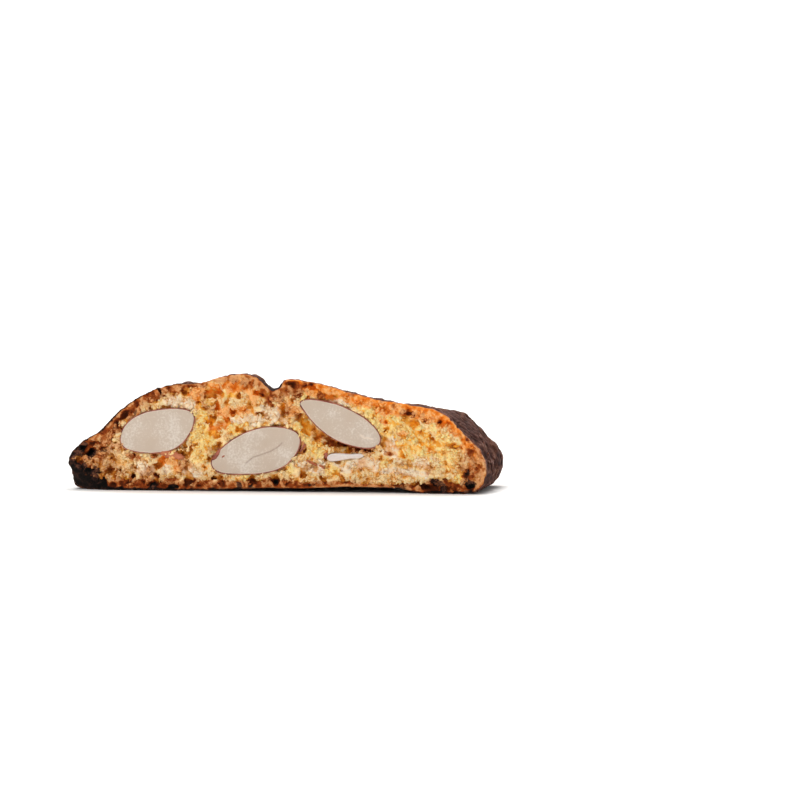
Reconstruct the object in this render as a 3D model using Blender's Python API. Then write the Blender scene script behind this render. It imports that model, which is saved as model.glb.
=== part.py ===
"""Almond biscotto: one slice of a twice-baked log, standing on its baked base.

The slice is a slab between two flat knife cuts. Its rim is the log's crust, with a
crack along the top. Whole almonds were baked into the dough, and each cut went through
some of them, so that half almonds sit in pockets that open at a cut face.

Axes: X runs along the slice, Y through its thickness, Z up. The front cut face looks
to -Y. The origin is the middle of the bounding box, on the surface it stands on.
Sizes are in millimetres here, and the finished objects are in metres.
"""

import math
from typing import NamedTuple

import bmesh
import bpy
from mathutils import Matrix, Vector, noise

MM = 0.001

# --- driving dimensions, in millimetres ---------------------------------------------
THICKNESS = 18.0
FRONT = -THICKNESS / 2
BACK = THICKNESS / 2
SECTIONS = 12            # steps of the crust through the thickness
OUTLINE_STEP = 1.9       # spacing of the points around the crust
LOG_SLANT = 2.4          # the log was cut a little aslant: the back lies this far to +X
# The log sagged behind the front cut: (x, the share of its height that the back is lower by).
BACK_SAG = [(-46.0, 0.046), (-2.0, 0.046), (4.0, 0.1), (30.0, 0.1), (42.0, 0.05), (48.0, 0.05)]
POCKET_GAP = 0.3         # room around each almond

# The cut face's outline, anticlockwise from the left end of the base, as (x, z).
# Each stretch is a smooth line, and the stretches meet in corners.
BASE = [(-44.3, 0.5), (-42.0, 0.0), (-22.0, 0.0), (-13.0, 0.35), (-2.0, 0.65),
        (12.0, 0.8), (23.0, 0.65), (30.0, 0.0), (38.5, 0.0)]
RIGHT_END = [(38.5, 0.0), (40.8, 0.5), (42.2, 1.9), (42.9, 4.2), (42.6, 6.6),
             (41.5, 9.1), (38.2, 12.6), (34.4, 16.2), (32.0, 17.5), (29.5, 18.0)]
TOP_RIGHT = [(29.5, 18.0), (21.8, 19.2), (16.0, 20.4), (9.3, 22.4), (3.1, 23.7),
             (1.3, 23.5), (0.5, 22.9)]
CRACK = [(0.5, 22.9), (0.3, 21.9), (-0.5, 21.6), (-1.6, 21.0)]
TOP_LEFT = [(-1.6, 21.0), (-3.2, 22.4), (-5.2, 24.0), (-7.4, 24.5), (-12.0, 24.1),
            (-18.0, 22.7), (-23.2, 22.5), (-28.4, 20.6), (-33.2, 17.6),
            (-38.2, 12.8), (-42.0, 10.4), (-44.2, 8.2), (-45.4, 5.9)]
LEFT_END = [(-45.4, 5.9), (-44.7, 4.4), (-45.0, 2.2), (-44.3, 0.5)]

CRACK_X = -0.6           # where the crack meets the front face
CRACK_LEAN = -5.3        # how far the crack strays sideways, all told, on its way to the back
CRACK_WANDER = 0.5       # how far it wavers about that line
CRACK_REACH = 9.0        # how wide a strip of crust goes with it

# Swellings of the crust: (place, radius, height).
SWELLINGS = [
    ((45.0, 5.5, 5.0), 4.0, 0.6),
    ((36.0, 7.0, 15.0), 6.0, 0.7),
    ((22.0, 0.0, 19.5), 5.0, -0.5),
    ((5.0, 3.0, 23.5), 4.0, 0.3),
    ((46.0, 7.0, 8.0), 2.5, 0.25),
    ((-14.0, 2.0, 24.0), 6.0, 0.3),
    ((-24.0, 6.0, 22.0), 5.0, -0.5),
    ((-34.0, 6.0, 17.0), 7.0, 0.5),
]
WRINKLE_HEIGHT = 0.7
WRINKLE_SIZE = 4.5

# The front cut's lower left corner broke away along this line.
CHIP_TOP = (-44.6, 5.6)
CHIP_FOOT = (-37.4, 0.0)
CHIP_SLOPE = 0.42        # how much deeper the break lies for each millimetre from the line

class Almond(NamedTuple):
    """A whole almond whose middle plane lies in a cut face."""

    name: str
    face: float      # the cut face it opens at
    centre: tuple    # its middle on that face, (x, z)
    tilt: float      # degrees from level, rising to the right
    length: float
    width: float
    depth: float     # how far it goes into the slice
    blunt: int       # its blunt end: +1 the right one, -1 the left one


ALMONDS = [
    Almond("almond_left", FRONT, (-25.9, 12.8), 21.0, 17.3, 8.8, 5.5, -1),
    Almond("almond_middle", FRONT, (-5.1, 8.0), 18.0, 19.6, 9.0, 6.0, 1),
    Almond("almond_right", FRONT, (12.45, 14.5), -26.0, 18.3, 7.2, 6.5, 1),
    Almond("almond_sliver", FRONT, (13.8, 7.5), 5.0, 8.4, 1.5, 3.0, -1),
    Almond("almond_back_left", BACK, (-23.0, 9.0), -14.0, 19.0, 8.2, 6.0, -1),
    Almond("almond_back_middle", BACK, (6.0, 13.6), 24.0, 18.0, 8.6, 5.5, 1),
    Almond("almond_back_right", BACK, (28.5, 8.6), -38.0, 16.5, 7.6, 5.0, 1),
]
# The dough drew back from the right almond's lower side and left a hollow of this shape.
HOLLOW = Almond("hollow", FRONT, (9.6, 12.4), -33.0, 15.0, 6.2, 3.0, -1)
ALMOND_SEGMENTS = 24
ALMOND_RINGS = 16
BLUNT_POWER = 0.45       # how an almond's half width closes at its blunt end
POINTED_POWER = 0.65     # and at its pointed end

CRUST_COLOUR = (0.36, 0.17, 0.07, 1.0)
KERNEL_COLOUR = (0.72, 0.66, 0.57, 1.0)


def clear_scene():
    """Remove every object, such as the startup cube."""
    for obj in list(bpy.data.objects):
        bpy.data.objects.remove(obj)


def collection(name):
    """A new collection in the scene."""
    made = bpy.data.collections.new(name)
    bpy.context.scene.collection.children.link(made)
    return made


def material(name, colour, roughness):
    """A plain non-metallic material."""
    made = bpy.data.materials.new(name)
    made.use_nodes = True
    shader = made.node_tree.nodes["Principled BSDF"]
    shader.inputs["Base Color"].default_value = colour
    shader.inputs["Roughness"].default_value = roughness
    shader.inputs["Metallic"].default_value = 0.0
    return made


def add_object(name, bm, group, finish):
    """Turn a bmesh in millimetres into an object in metres, smooth where it is round."""
    bmesh.ops.scale(bm, vec=(MM, MM, MM), verts=bm.verts)
    bmesh.ops.recalc_face_normals(bm, faces=bm.faces)
    mesh = bpy.data.meshes.new(name)
    bm.to_mesh(mesh)
    bm.free()
    mesh.materials.append(finish)
    mesh.shade_smooth()
    mesh.set_sharp_from_angle(angle=math.radians(40))
    obj = bpy.data.objects.new(name, mesh)
    group.objects.link(obj)
    return obj


def smooth_line(points, step):
    """Points at about every step along a Catmull-Rom line through the given ones."""
    line = [Vector(p) for p in points]
    line = [2 * line[0] - line[1]] + line + [2 * line[-1] - line[-2]]
    found = []
    for a, b, c, d in zip(line, line[1:], line[2:], line[3:]):
        count = max(1, round((c - b).length / step))
        for i in range(count):
            t = i / count
            found.append(0.5 * (2 * b + (c - a) * t
                                + (2 * a - 5 * b + 4 * c - d) * t ** 2
                                + (3 * b - a - 3 * c + d) * t ** 3))
    return found


def front_outline():
    """The closed outline of the front cut face, anticlockwise, as (x, z) points."""
    outline = []
    for stretch in (BASE, RIGHT_END, TOP_RIGHT, CRACK, TOP_LEFT, LEFT_END):
        outline += smooth_line(stretch, OUTLINE_STEP)
    return outline


def smooth_step(t):
    """0 below 0, 1 above 1, and an even curve between."""
    t = min(max(t, 0.0), 1.0)
    return t * t * (3 - 2 * t)


def crust_shift(place):
    """How far a point of the crust stands out from the plain slab, in millimetres."""
    height = WRINKLE_HEIGHT * noise.noise(place / WRINKLE_SIZE)
    height += 0.4 * WRINKLE_HEIGHT * noise.noise(place * 2.3 / WRINKLE_SIZE)
    for centre, radius, swell in SWELLINGS:
        near = (place - Vector(centre)).length / radius
        height += swell * math.exp(-near * near)
    return height


def crust_point(x, z, depth, outward):
    """Where an outline point lies at this depth, a share of the thickness from the front."""
    y = FRONT + depth * THICKNESS
    strip = math.exp(-((x - CRACK_X) / CRACK_REACH) ** 2) * smooth_step(z / 10 - 1)
    wander = (CRACK_LEAN * depth + CRACK_WANDER * math.sin(2.2 * math.pi * depth)) * strip
    place = Vector((x + LOG_SLANT * depth + wander, y, z))
    above_base = smooth_step((z - 0.9) / 2.0)
    behind_cut = smooth_step(depth * 4)
    shift = crust_shift(place) * above_base * (0.35 + 0.65 * behind_cut)
    place += shift * Vector((outward.x, 0, outward.y))
    place.z = max(place.z * (1 - sag_at(x) * depth), 0.0)
    return place


def sag_at(x):
    """The share of its height that the back is lower by at this place along the slice."""
    for (left, low), (right, high) in zip(BACK_SAG, BACK_SAG[1:]):
        if x <= right:
            return low + (high - low) * (x - left) / (right - left)
    return BACK_SAG[-1][1]


def outward_directions(outline):
    """The outline's outward direction at each point, for an anticlockwise outline."""
    found = []
    for i in range(len(outline)):
        along = outline[(i + 1) % len(outline)] - outline[i - 1]
        found.append(Vector((along.y, -along.x)).normalized())
    return found


def slice_slab():
    """The slab between the two cuts: the outline's edges, extruded section by section."""
    outline = front_outline()
    outward = outward_directions(outline)
    bm = bmesh.new()
    ring = [bm.verts.new(crust_point(p.x, p.y, 0.0, n)) for p, n in zip(outline, outward)]
    edges = list(bm.faces.new(ring).edges)
    for section in range(1, SECTIONS + 1):
        made = bmesh.ops.extrude_edge_only(bm, edges=edges)["geom"]
        fresh = {g for g in made if isinstance(g, bmesh.types.BMVert)}
        edges = [g for g in made if isinstance(g, bmesh.types.BMEdge) and fresh >= set(g.verts)]
        ring = [above(vert, fresh) for vert in ring]
        for vert, p, n in zip(ring, outline, outward):
            vert.co = crust_point(p.x, p.y, section / SECTIONS, n)
    bm.faces.new(ring)
    return bm


def above(vert, fresh):
    """The extruded copy of a vertex: the fresh vertex that an edge joins it to."""
    return next(e.other_vert(vert) for e in vert.link_edges if e.other_vert(vert) in fresh)


def break_corner(bm):
    """Take off the chipped corner with a plane that slopes away from the front face."""
    along = Vector((CHIP_FOOT[0] - CHIP_TOP[0], 0, CHIP_FOOT[1] - CHIP_TOP[1])).normalized()
    outward = Vector((along.z, 0, -along.x))
    cut = bmesh.ops.bisect_plane(
        bm, geom=bm.verts[:] + bm.edges[:] + bm.faces[:],
        plane_co=(CHIP_TOP[0], FRONT, CHIP_TOP[1]),
        plane_no=(CHIP_SLOPE * outward + Vector((0, -1, 0))).normalized(), clear_outer=True)
    edges = [g for g in cut["geom_cut"] if isinstance(g, bmesh.types.BMEdge)]
    bmesh.ops.holes_fill(bm, edges=edges)


def whole_almond(almond, room):
    """The almond in its place, with this much room added all round."""
    bm = bmesh.new()
    bmesh.ops.create_uvsphere(bm, u_segments=ALMOND_SEGMENTS, v_segments=ALMOND_RINGS, radius=1)
    peak = (POINTED_POWER - BLUNT_POWER) / (POINTED_POWER + BLUNT_POWER)
    widest = (1 - peak) ** BLUNT_POWER * (1 + peak) ** POINTED_POWER
    for vert in bm.verts:
        along = vert.co.z
        round_here = math.sqrt(max(1 - along ** 2, 0.0))
        here = max(1 - along, 0) ** BLUNT_POWER * max(1 + along, 0) ** POINTED_POWER / widest
        share = here / round_here if round_here > 1e-6 else 0.0
        vert.co = Vector((almond.blunt * along * (almond.length / 2 + room),
                          vert.co.x * share * (almond.depth + room),
                          vert.co.y * share * (almond.width / 2 + room)))
    turn = Matrix.Rotation(-math.radians(almond.tilt), 3, "Y")
    bmesh.ops.rotate(bm, verts=bm.verts, matrix=turn)
    bmesh.ops.translate(bm, verts=bm.verts, vec=(almond.centre[0], almond.face, almond.centre[1]))
    return bm


def half_almond(almond):
    """The half that the knife left inside the slice, closed with a flat cut."""
    bm = whole_almond(almond, 0.0)
    cut = bmesh.ops.bisect_plane(
        bm, geom=bm.verts[:] + bm.edges[:] + bm.faces[:], plane_co=(0, almond.face, 0),
        plane_no=(0, math.copysign(1, almond.face), 0), clear_outer=True)
    edges = [g for g in cut["geom_cut"] if isinstance(g, bmesh.types.BMEdge)]
    bmesh.ops.holes_fill(bm, edges=edges)
    return bm


def cut_pocket(biscuit, pocket):
    """Subtract a pocket from the biscuit."""
    pocket.hide_render = True
    pocket.display_type = "WIRE"
    cut = biscuit.modifiers.new(pocket.name, "BOOLEAN")
    cut.operation = "DIFFERENCE"
    cut.object = pocket


def main():
    """Build the biscuit, its pockets and its almonds."""
    clear_scene()
    parts = collection("almond_biscotto")
    cutters = collection("cutters")
    baked = material("baked_dough", CRUST_COLOUR, 0.8)
    kernel = material("almond_kernel", KERNEL_COLOUR, 0.5)

    bm = slice_slab()
    break_corner(bm)
    biscuit = add_object("biscuit", bm, parts, baked)
    cut_pocket(biscuit, add_object(HOLLOW.name, whole_almond(HOLLOW, 0.0), cutters, baked))
    for almond in ALMONDS:
        pocket = whole_almond(almond, POCKET_GAP)
        cut_pocket(biscuit, add_object(almond.name + "_pocket", pocket, cutters, baked))
        add_object(almond.name, half_almond(almond), parts, kernel)


main()
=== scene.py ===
"""The looks of one slice of almond biscotto: its open crumb, its crust, its cut almonds and their skins.

Lengths are in millimetres, in the frame's own axes: X along the slice, Y through its thickness from the
front cut to the back cut, Z up. They become metres where a mesh is written.
"""

import itertools
import logging
import math
from dataclasses import dataclass, field
from enum import Enum
from typing import Any

import bmesh
import bpy
import numpy as np
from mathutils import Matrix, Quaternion, Vector
from mathutils.bvhtree import BVHTree


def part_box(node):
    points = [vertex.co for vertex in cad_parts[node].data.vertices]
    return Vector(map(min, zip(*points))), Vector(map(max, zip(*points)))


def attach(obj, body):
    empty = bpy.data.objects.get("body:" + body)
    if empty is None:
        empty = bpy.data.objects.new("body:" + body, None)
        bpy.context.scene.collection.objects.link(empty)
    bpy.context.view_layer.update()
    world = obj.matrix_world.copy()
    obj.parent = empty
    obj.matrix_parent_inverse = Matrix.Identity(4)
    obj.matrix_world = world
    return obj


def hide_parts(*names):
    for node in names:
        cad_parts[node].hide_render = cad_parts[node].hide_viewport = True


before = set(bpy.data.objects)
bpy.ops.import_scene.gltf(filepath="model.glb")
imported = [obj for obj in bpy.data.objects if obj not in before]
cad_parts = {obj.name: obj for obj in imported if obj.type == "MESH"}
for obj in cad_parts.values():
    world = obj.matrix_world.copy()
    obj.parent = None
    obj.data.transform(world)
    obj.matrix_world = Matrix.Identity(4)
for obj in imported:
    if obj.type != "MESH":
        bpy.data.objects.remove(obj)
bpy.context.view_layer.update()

MM = 0.001
BODY = "root"
log = logging.getLogger("biscotto")


class Side(Enum):
    """A knife cut, by the sign of Y on that side of the slice."""

    FRONT = -1
    BACK = 1


class Tone(Enum):
    """A colour that the dough takes in places, named for its vertex attribute."""

    GOLD = "gold"
    PALE = "pale"
    ORANGE = "orange"
    BROWN = "brown"
    CHAR = "char"


# --- numbers over space ----------------------------------------------------------------


def smooth_step(low: float, high: float, value: np.ndarray) -> np.ndarray:
    """An even rise from 0 at low to 1 at high.

    Args:
        low: Where the rise starts.
        high: Where it ends. It may lie below low, and the rise is then a fall.
        value: The numbers to place on the rise.

    Returns:
        One share for each number.
    """
    share = np.clip((value - low) / (high - low), 0.0, 1.0)
    return share * share * (3.0 - 2.0 * share)


def turned(x: Any, z: Any, degrees: float) -> tuple[Any, Any]:
    """Turn places about the origin in the plane of a cut, from X towards Z.

    Args:
        x: How far along the slice they lie.
        z: How high they lie.
        degrees: How far they turn.

    Returns:
        Their new x and z.
    """
    turn = math.radians(degrees)
    return x * math.cos(turn) - z * math.sin(turn), x * math.sin(turn) + z * math.cos(turn)


class Lattice:
    """Random numbers that vary smoothly over space, the same on each run."""

    def __init__(self, seed: int) -> None:
        """Shuffle the lattice.

        Args:
            seed: The fixed number that the shuffle starts from.
        """
        draw = np.random.default_rng(seed)
        self._order = draw.permutation(256)
        slopes = draw.normal(size=(256, 3))
        self._slopes = slopes / np.linalg.norm(slopes, axis=1)[:, None]
        self._centres = draw.uniform(0.1, 0.9, size=(256, 3))
        self._marks = draw.uniform(size=256)

    def _hash(self, corner: np.ndarray) -> np.ndarray:
        """Look up the table row of each lattice corner.

        Args:
            corner: The corners, as whole numbers.

        Returns:
            One row number for each.
        """
        row = self._order[corner[:, 0] & 255]
        row = self._order[(row + corner[:, 1]) & 255]
        return self._order[(row + corner[:, 2]) & 255]

    def waves(self, places: np.ndarray, size: Any) -> np.ndarray:
        """Gradient noise.

        Args:
            places: The points, in millimetres.
            size: The width of one wave, in millimetres, or one width for each axis.

        Returns:
            A number from about -1 to 1 for each point.
        """
        scaled = places / np.asarray(size, float)
        corner = np.floor(scaled).astype(np.int64)
        within = scaled - corner
        ease = within ** 3 * (within * (within * 6 - 15) + 10)
        total = np.zeros(len(places))
        for step in itertools.product((0, 1), repeat=3):
            slope = self._slopes[self._hash(corner + step)]
            height = ((within - step) * slope).sum(axis=1)
            weight = np.where(step, ease, 1 - ease).prod(axis=1)
            total += weight * height
        return 1.7 * total

    def rough(self, places: np.ndarray, size: float, octaves: int) -> np.ndarray:
        """Waves with ever finer ones on top, each half the size and height of the last.

        Args:
            places: The points, in millimetres.
            size: The width of the largest waves.
            octaves: How many sizes there are.

        Returns:
            A number from about -1 to 1 for each point.
        """
        total = sum(self.waves(places + 17.0 * k, size / 2 ** k) / 2 ** k for k in range(octaves))
        return total / (2 - 0.5 ** (octaves - 1))

    def cells(self, places: np.ndarray, size: float) -> tuple[np.ndarray, np.ndarray, np.ndarray]:
        """Irregular cells that fill space.

        Args:
            places: The points, in millimetres.
            size: The width of a cell.

        Returns:
            For each point the distance to the nearest cell's centre and to the next one's, both as
            shares of the size, and a random number from 0 to 1 that belongs to the nearest cell.
        """
        scaled = places / size
        corner = np.floor(scaled).astype(np.int64)
        within = scaled - corner
        first = np.full(len(places), 9.0)
        second = first.copy()
        mark = np.zeros(len(places))
        for step in itertools.product((-1, 0, 1), repeat=3):
            row = self._hash(corner + step)
            away = np.linalg.norm(self._centres[row] + step - within, axis=1)
            nearer = away < first
            second = np.where(nearer, first, np.minimum(second, away))
            mark = np.where(nearer, self._marks[row], mark)
            first = np.where(nearer, away, first)
        return first, second, mark


# --- meshes ----------------------------------------------------------------------------


def link(name: str, mesh: bpy.types.Mesh) -> bpy.types.Object:
    """A new object in the scene that holds this mesh.

    Args:
        name: Its name.
        mesh: The mesh.

    Returns:
        The object.
    """
    made = bpy.data.objects.new(name, mesh)
    bpy.context.scene.collection.objects.link(made)
    return made


def mesh_of(name: str, bm: bmesh.types.BMesh) -> bpy.types.Mesh:
    """Turn a bmesh into a mesh in metres, with outward normals.

    Args:
        name: The mesh's name.
        bm: The bmesh, in millimetres. It is used up.

    Returns:
        The mesh.
    """
    bmesh.ops.scale(bm, vec=(MM, MM, MM), verts=bm.verts)
    bmesh.ops.recalc_face_normals(bm, faces=bm.faces)
    made = bpy.data.meshes.new(name)
    bm.to_mesh(made)
    bm.free()
    return made


def points_of(mesh: bpy.types.Mesh) -> np.ndarray:
    """Read where a mesh's vertices lie.

    Args:
        mesh: The mesh, in metres.

    Returns:
        The vertices, in millimetres.
    """
    flat = np.empty(len(mesh.vertices) * 3, np.float32)
    mesh.vertices.foreach_get("co", flat)
    return flat.reshape(-1, 3).astype(float) / MM


def normals_of(mesh: bpy.types.Mesh) -> np.ndarray:
    """Read which way out the surface faces at each vertex.

    Args:
        mesh: The mesh.

    Returns:
        One direction for each vertex.
    """
    flat = np.empty(len(mesh.vertices) * 3, np.float32)
    mesh.vertex_normals.foreach_get("vector", flat)
    return flat.reshape(-1, 3).astype(float)


def edges_of(mesh: bpy.types.Mesh) -> np.ndarray:
    """Read which vertices each edge joins.

    Args:
        mesh: The mesh.

    Returns:
        The numbers of the two vertices of each edge.
    """
    ends = np.empty(len(mesh.edges) * 2, np.int32)
    mesh.edges.foreach_get("vertices", ends)
    return ends.reshape(-1, 2)


def triangles_in(mesh: bpy.types.Mesh) -> int:
    """How many triangles the mesh's faces make."""
    return sum(len(face.vertices) - 2 for face in mesh.polygons)


def move_points(mesh: bpy.types.Mesh, points: np.ndarray) -> None:
    """Put the mesh's vertices at these places, in millimetres."""
    mesh.vertices.foreach_set("co", (points * MM).astype(np.float32).ravel())
    mesh.update()


def apply(obj: bpy.types.Object, kind: str, **settings: Any) -> None:
    """Run one modifier on an object and keep its result as the object's mesh.

    Args:
        obj: The object.
        kind: The modifier's type.
        **settings: The modifier's own settings.
    """
    modifier = obj.modifiers.new(kind.lower(), kind)
    for name, value in settings.items():
        setattr(modifier, name, value)
    graph = bpy.context.evaluated_depsgraph_get()
    made = bpy.data.meshes.new_from_object(obj.evaluated_get(graph))
    obj.modifiers.clear()
    old, obj.data = obj.data, made
    made.name = obj.name
    bpy.data.meshes.remove(old)


def largest_body(mesh: bpy.types.Mesh) -> bpy.types.Mesh:
    """Delete every loose body but the one with the most vertices.

    Args:
        mesh: The mesh, which is changed in place.

    Returns:
        The same mesh.
    """
    first, second = edges_of(mesh).T
    label = np.arange(len(mesh.vertices))
    while True:
        # Each vertex takes the lowest label among its neighbours, until none changes.
        low = np.minimum(label[first], label[second])
        fresh = label.copy()
        np.minimum.at(fresh, first, low)
        np.minimum.at(fresh, second, low)
        fresh = fresh[fresh]
        if (fresh == label).all():
            break
        label = fresh
    kept = np.bincount(label).argmax()
    bm = bmesh.new()
    bm.from_mesh(mesh)
    loose = [vert for vert, own in zip(bm.verts, label) if own != kept]
    bmesh.ops.delete(bm, geom=loose, context="VERTS")
    bm.to_mesh(mesh)
    bm.free()
    return mesh


def mesh_from(name: str, points: np.ndarray, faces: np.ndarray) -> bpy.types.Mesh:
    """A mesh of many joined small shapes.

    Args:
        name: Its name.
        points: All their vertices, in millimetres.
        faces: All their triangles, as rows of vertex numbers.

    Returns:
        The mesh, in metres.
    """
    made = bpy.data.meshes.new(name)
    made.vertices.add(len(points))
    made.vertices.foreach_set("co", (points * MM).astype(np.float32).ravel())
    made.loops.add(faces.size)
    made.loops.foreach_set("vertex_index", faces.astype(np.int32).ravel())
    made.polygons.add(len(faces))
    made.polygons.foreach_set("loop_start", np.arange(0, faces.size, 3, dtype=np.int32))
    made.update(calc_edges=True)
    return made


def ball_of(subdivisions: int) -> tuple[np.ndarray, np.ndarray]:
    """Make a round ball of radius 1.

    Args:
        subdivisions: How finely it is divided.

    Returns:
        Its vertices, and its triangles as rows of vertex numbers.
    """
    bm = bmesh.new()
    bmesh.ops.create_icosphere(bm, subdivisions=subdivisions, radius=1.0)
    points = np.array([v.co for v in bm.verts])
    faces = np.array([[v.index for v in f.verts] for f in bm.faces])
    bm.free()
    return points, faces


def copies_of(faces: np.ndarray, size: int, count: int, first: int = 0) -> np.ndarray:
    """The triangles of many copies of a small shape, whose vertices follow one another.

    Args:
        faces: The shape's triangles, as rows of vertex numbers.
        size: How many vertices it has.
        count: How many copies there are.
        first: The number of the first copy's first vertex.

    Returns:
        All their triangles.
    """
    shift = first + size * np.arange(count)
    return (faces[None] + shift[:, None, None]).reshape(-1, 3)


def softened(mesh: bpy.types.Mesh, rounds: int) -> np.ndarray:
    """The mesh's vertices, in millimetres, after each moved to the middle of its neighbours.

    Args:
        mesh: The mesh, which stays as it is.
        rounds: How often they move.

    Returns:
        The new places.
    """
    ends = edges_of(mesh)
    soft = points_of(mesh)
    count = np.bincount(ends.ravel(), minlength=len(soft))[:, None]
    for _ in range(rounds):
        total = [np.bincount(ends[:, 0], soft[ends[:, 1], axis], len(soft))
                 + np.bincount(ends[:, 1], soft[ends[:, 0], axis], len(soft)) for axis in range(3)]
        soft = np.stack(total, axis=1) / count
    return soft


def relief_of(mesh: bpy.types.Mesh, rounds: int) -> np.ndarray:
    """How far each vertex stands proud of the softened surface around it.

    Args:
        mesh: The mesh.
        rounds: How far it is softened, which sets how wide around each vertex counts.

    Returns:
        One distance for each vertex, in millimetres. It is below 0 in a hollow.
    """
    return ((points_of(mesh) - softened(mesh, rounds)) * normals_of(mesh)).sum(axis=1)


def store(mesh: bpy.types.Mesh, name: str, values: np.ndarray) -> None:
    """Keep one number for each vertex as an attribute that a material can read."""
    made = mesh.attributes.new(name, "FLOAT", "POINT")
    made.data.foreach_set("value", values.astype(np.float32))


def settle(obj: bpy.types.Object, slot: str, *nodes: str) -> None:
    """Hand a finished piece to the frame.

    Args:
        obj: The piece, in its place.
        slot: Not used.
        *nodes: The frame's nodes that it stands for.
    """
    obj.data.shade_smooth()
    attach(obj, BODY)
    if nodes:
        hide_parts(*nodes)
    log.info("%s: %d triangles", obj.name, triangles_in(obj.data))


# --- finishes --------------------------------------------------------------------------


def linear(colour: str) -> tuple[float, float, float, float]:
    """The linear colour of an sRGB hex value such as #C08040."""
    shares = [int(colour[i:i + 2], 16) / 255 for i in (1, 3, 5)]
    return (*(s / 12.92 if s <= 0.04045 else ((s + 0.055) / 1.055) ** 2.4 for s in shares), 1.0)


def per_mm(size: float) -> float:
    """A texture's scale whose features are this many millimetres wide."""
    return 1.0 / (size * MM)


def add_node(tree: bpy.types.NodeTree, kind: str, inputs: dict, **settings: Any) -> bpy.types.Node:
    """Add one node.

    Args:
        tree: The material's node tree.
        kind: The node's type.
        inputs: For each input, by its name or index, a value or another node's output.
        **settings: The node's own settings.

    Returns:
        The node.
    """
    made = tree.nodes.new(kind)
    for name, value in settings.items():
        setattr(made, name, value)
    for key, value in inputs.items():
        if isinstance(value, bpy.types.NodeSocket):
            tree.links.new(value, made.inputs[key])
        else:
            made.inputs[key].default_value = value
    return made


def new_material(name: str) -> tuple[bpy.types.Material, bpy.types.NodeTree, bpy.types.Node]:
    """Start a material.

    Args:
        name: Its name.

    Returns:
        The material, its node tree and its shader.
    """
    made = bpy.data.materials.new(name)
    made.use_nodes = True
    return made, made.node_tree, made.node_tree.nodes["Principled BSDF"]


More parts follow.
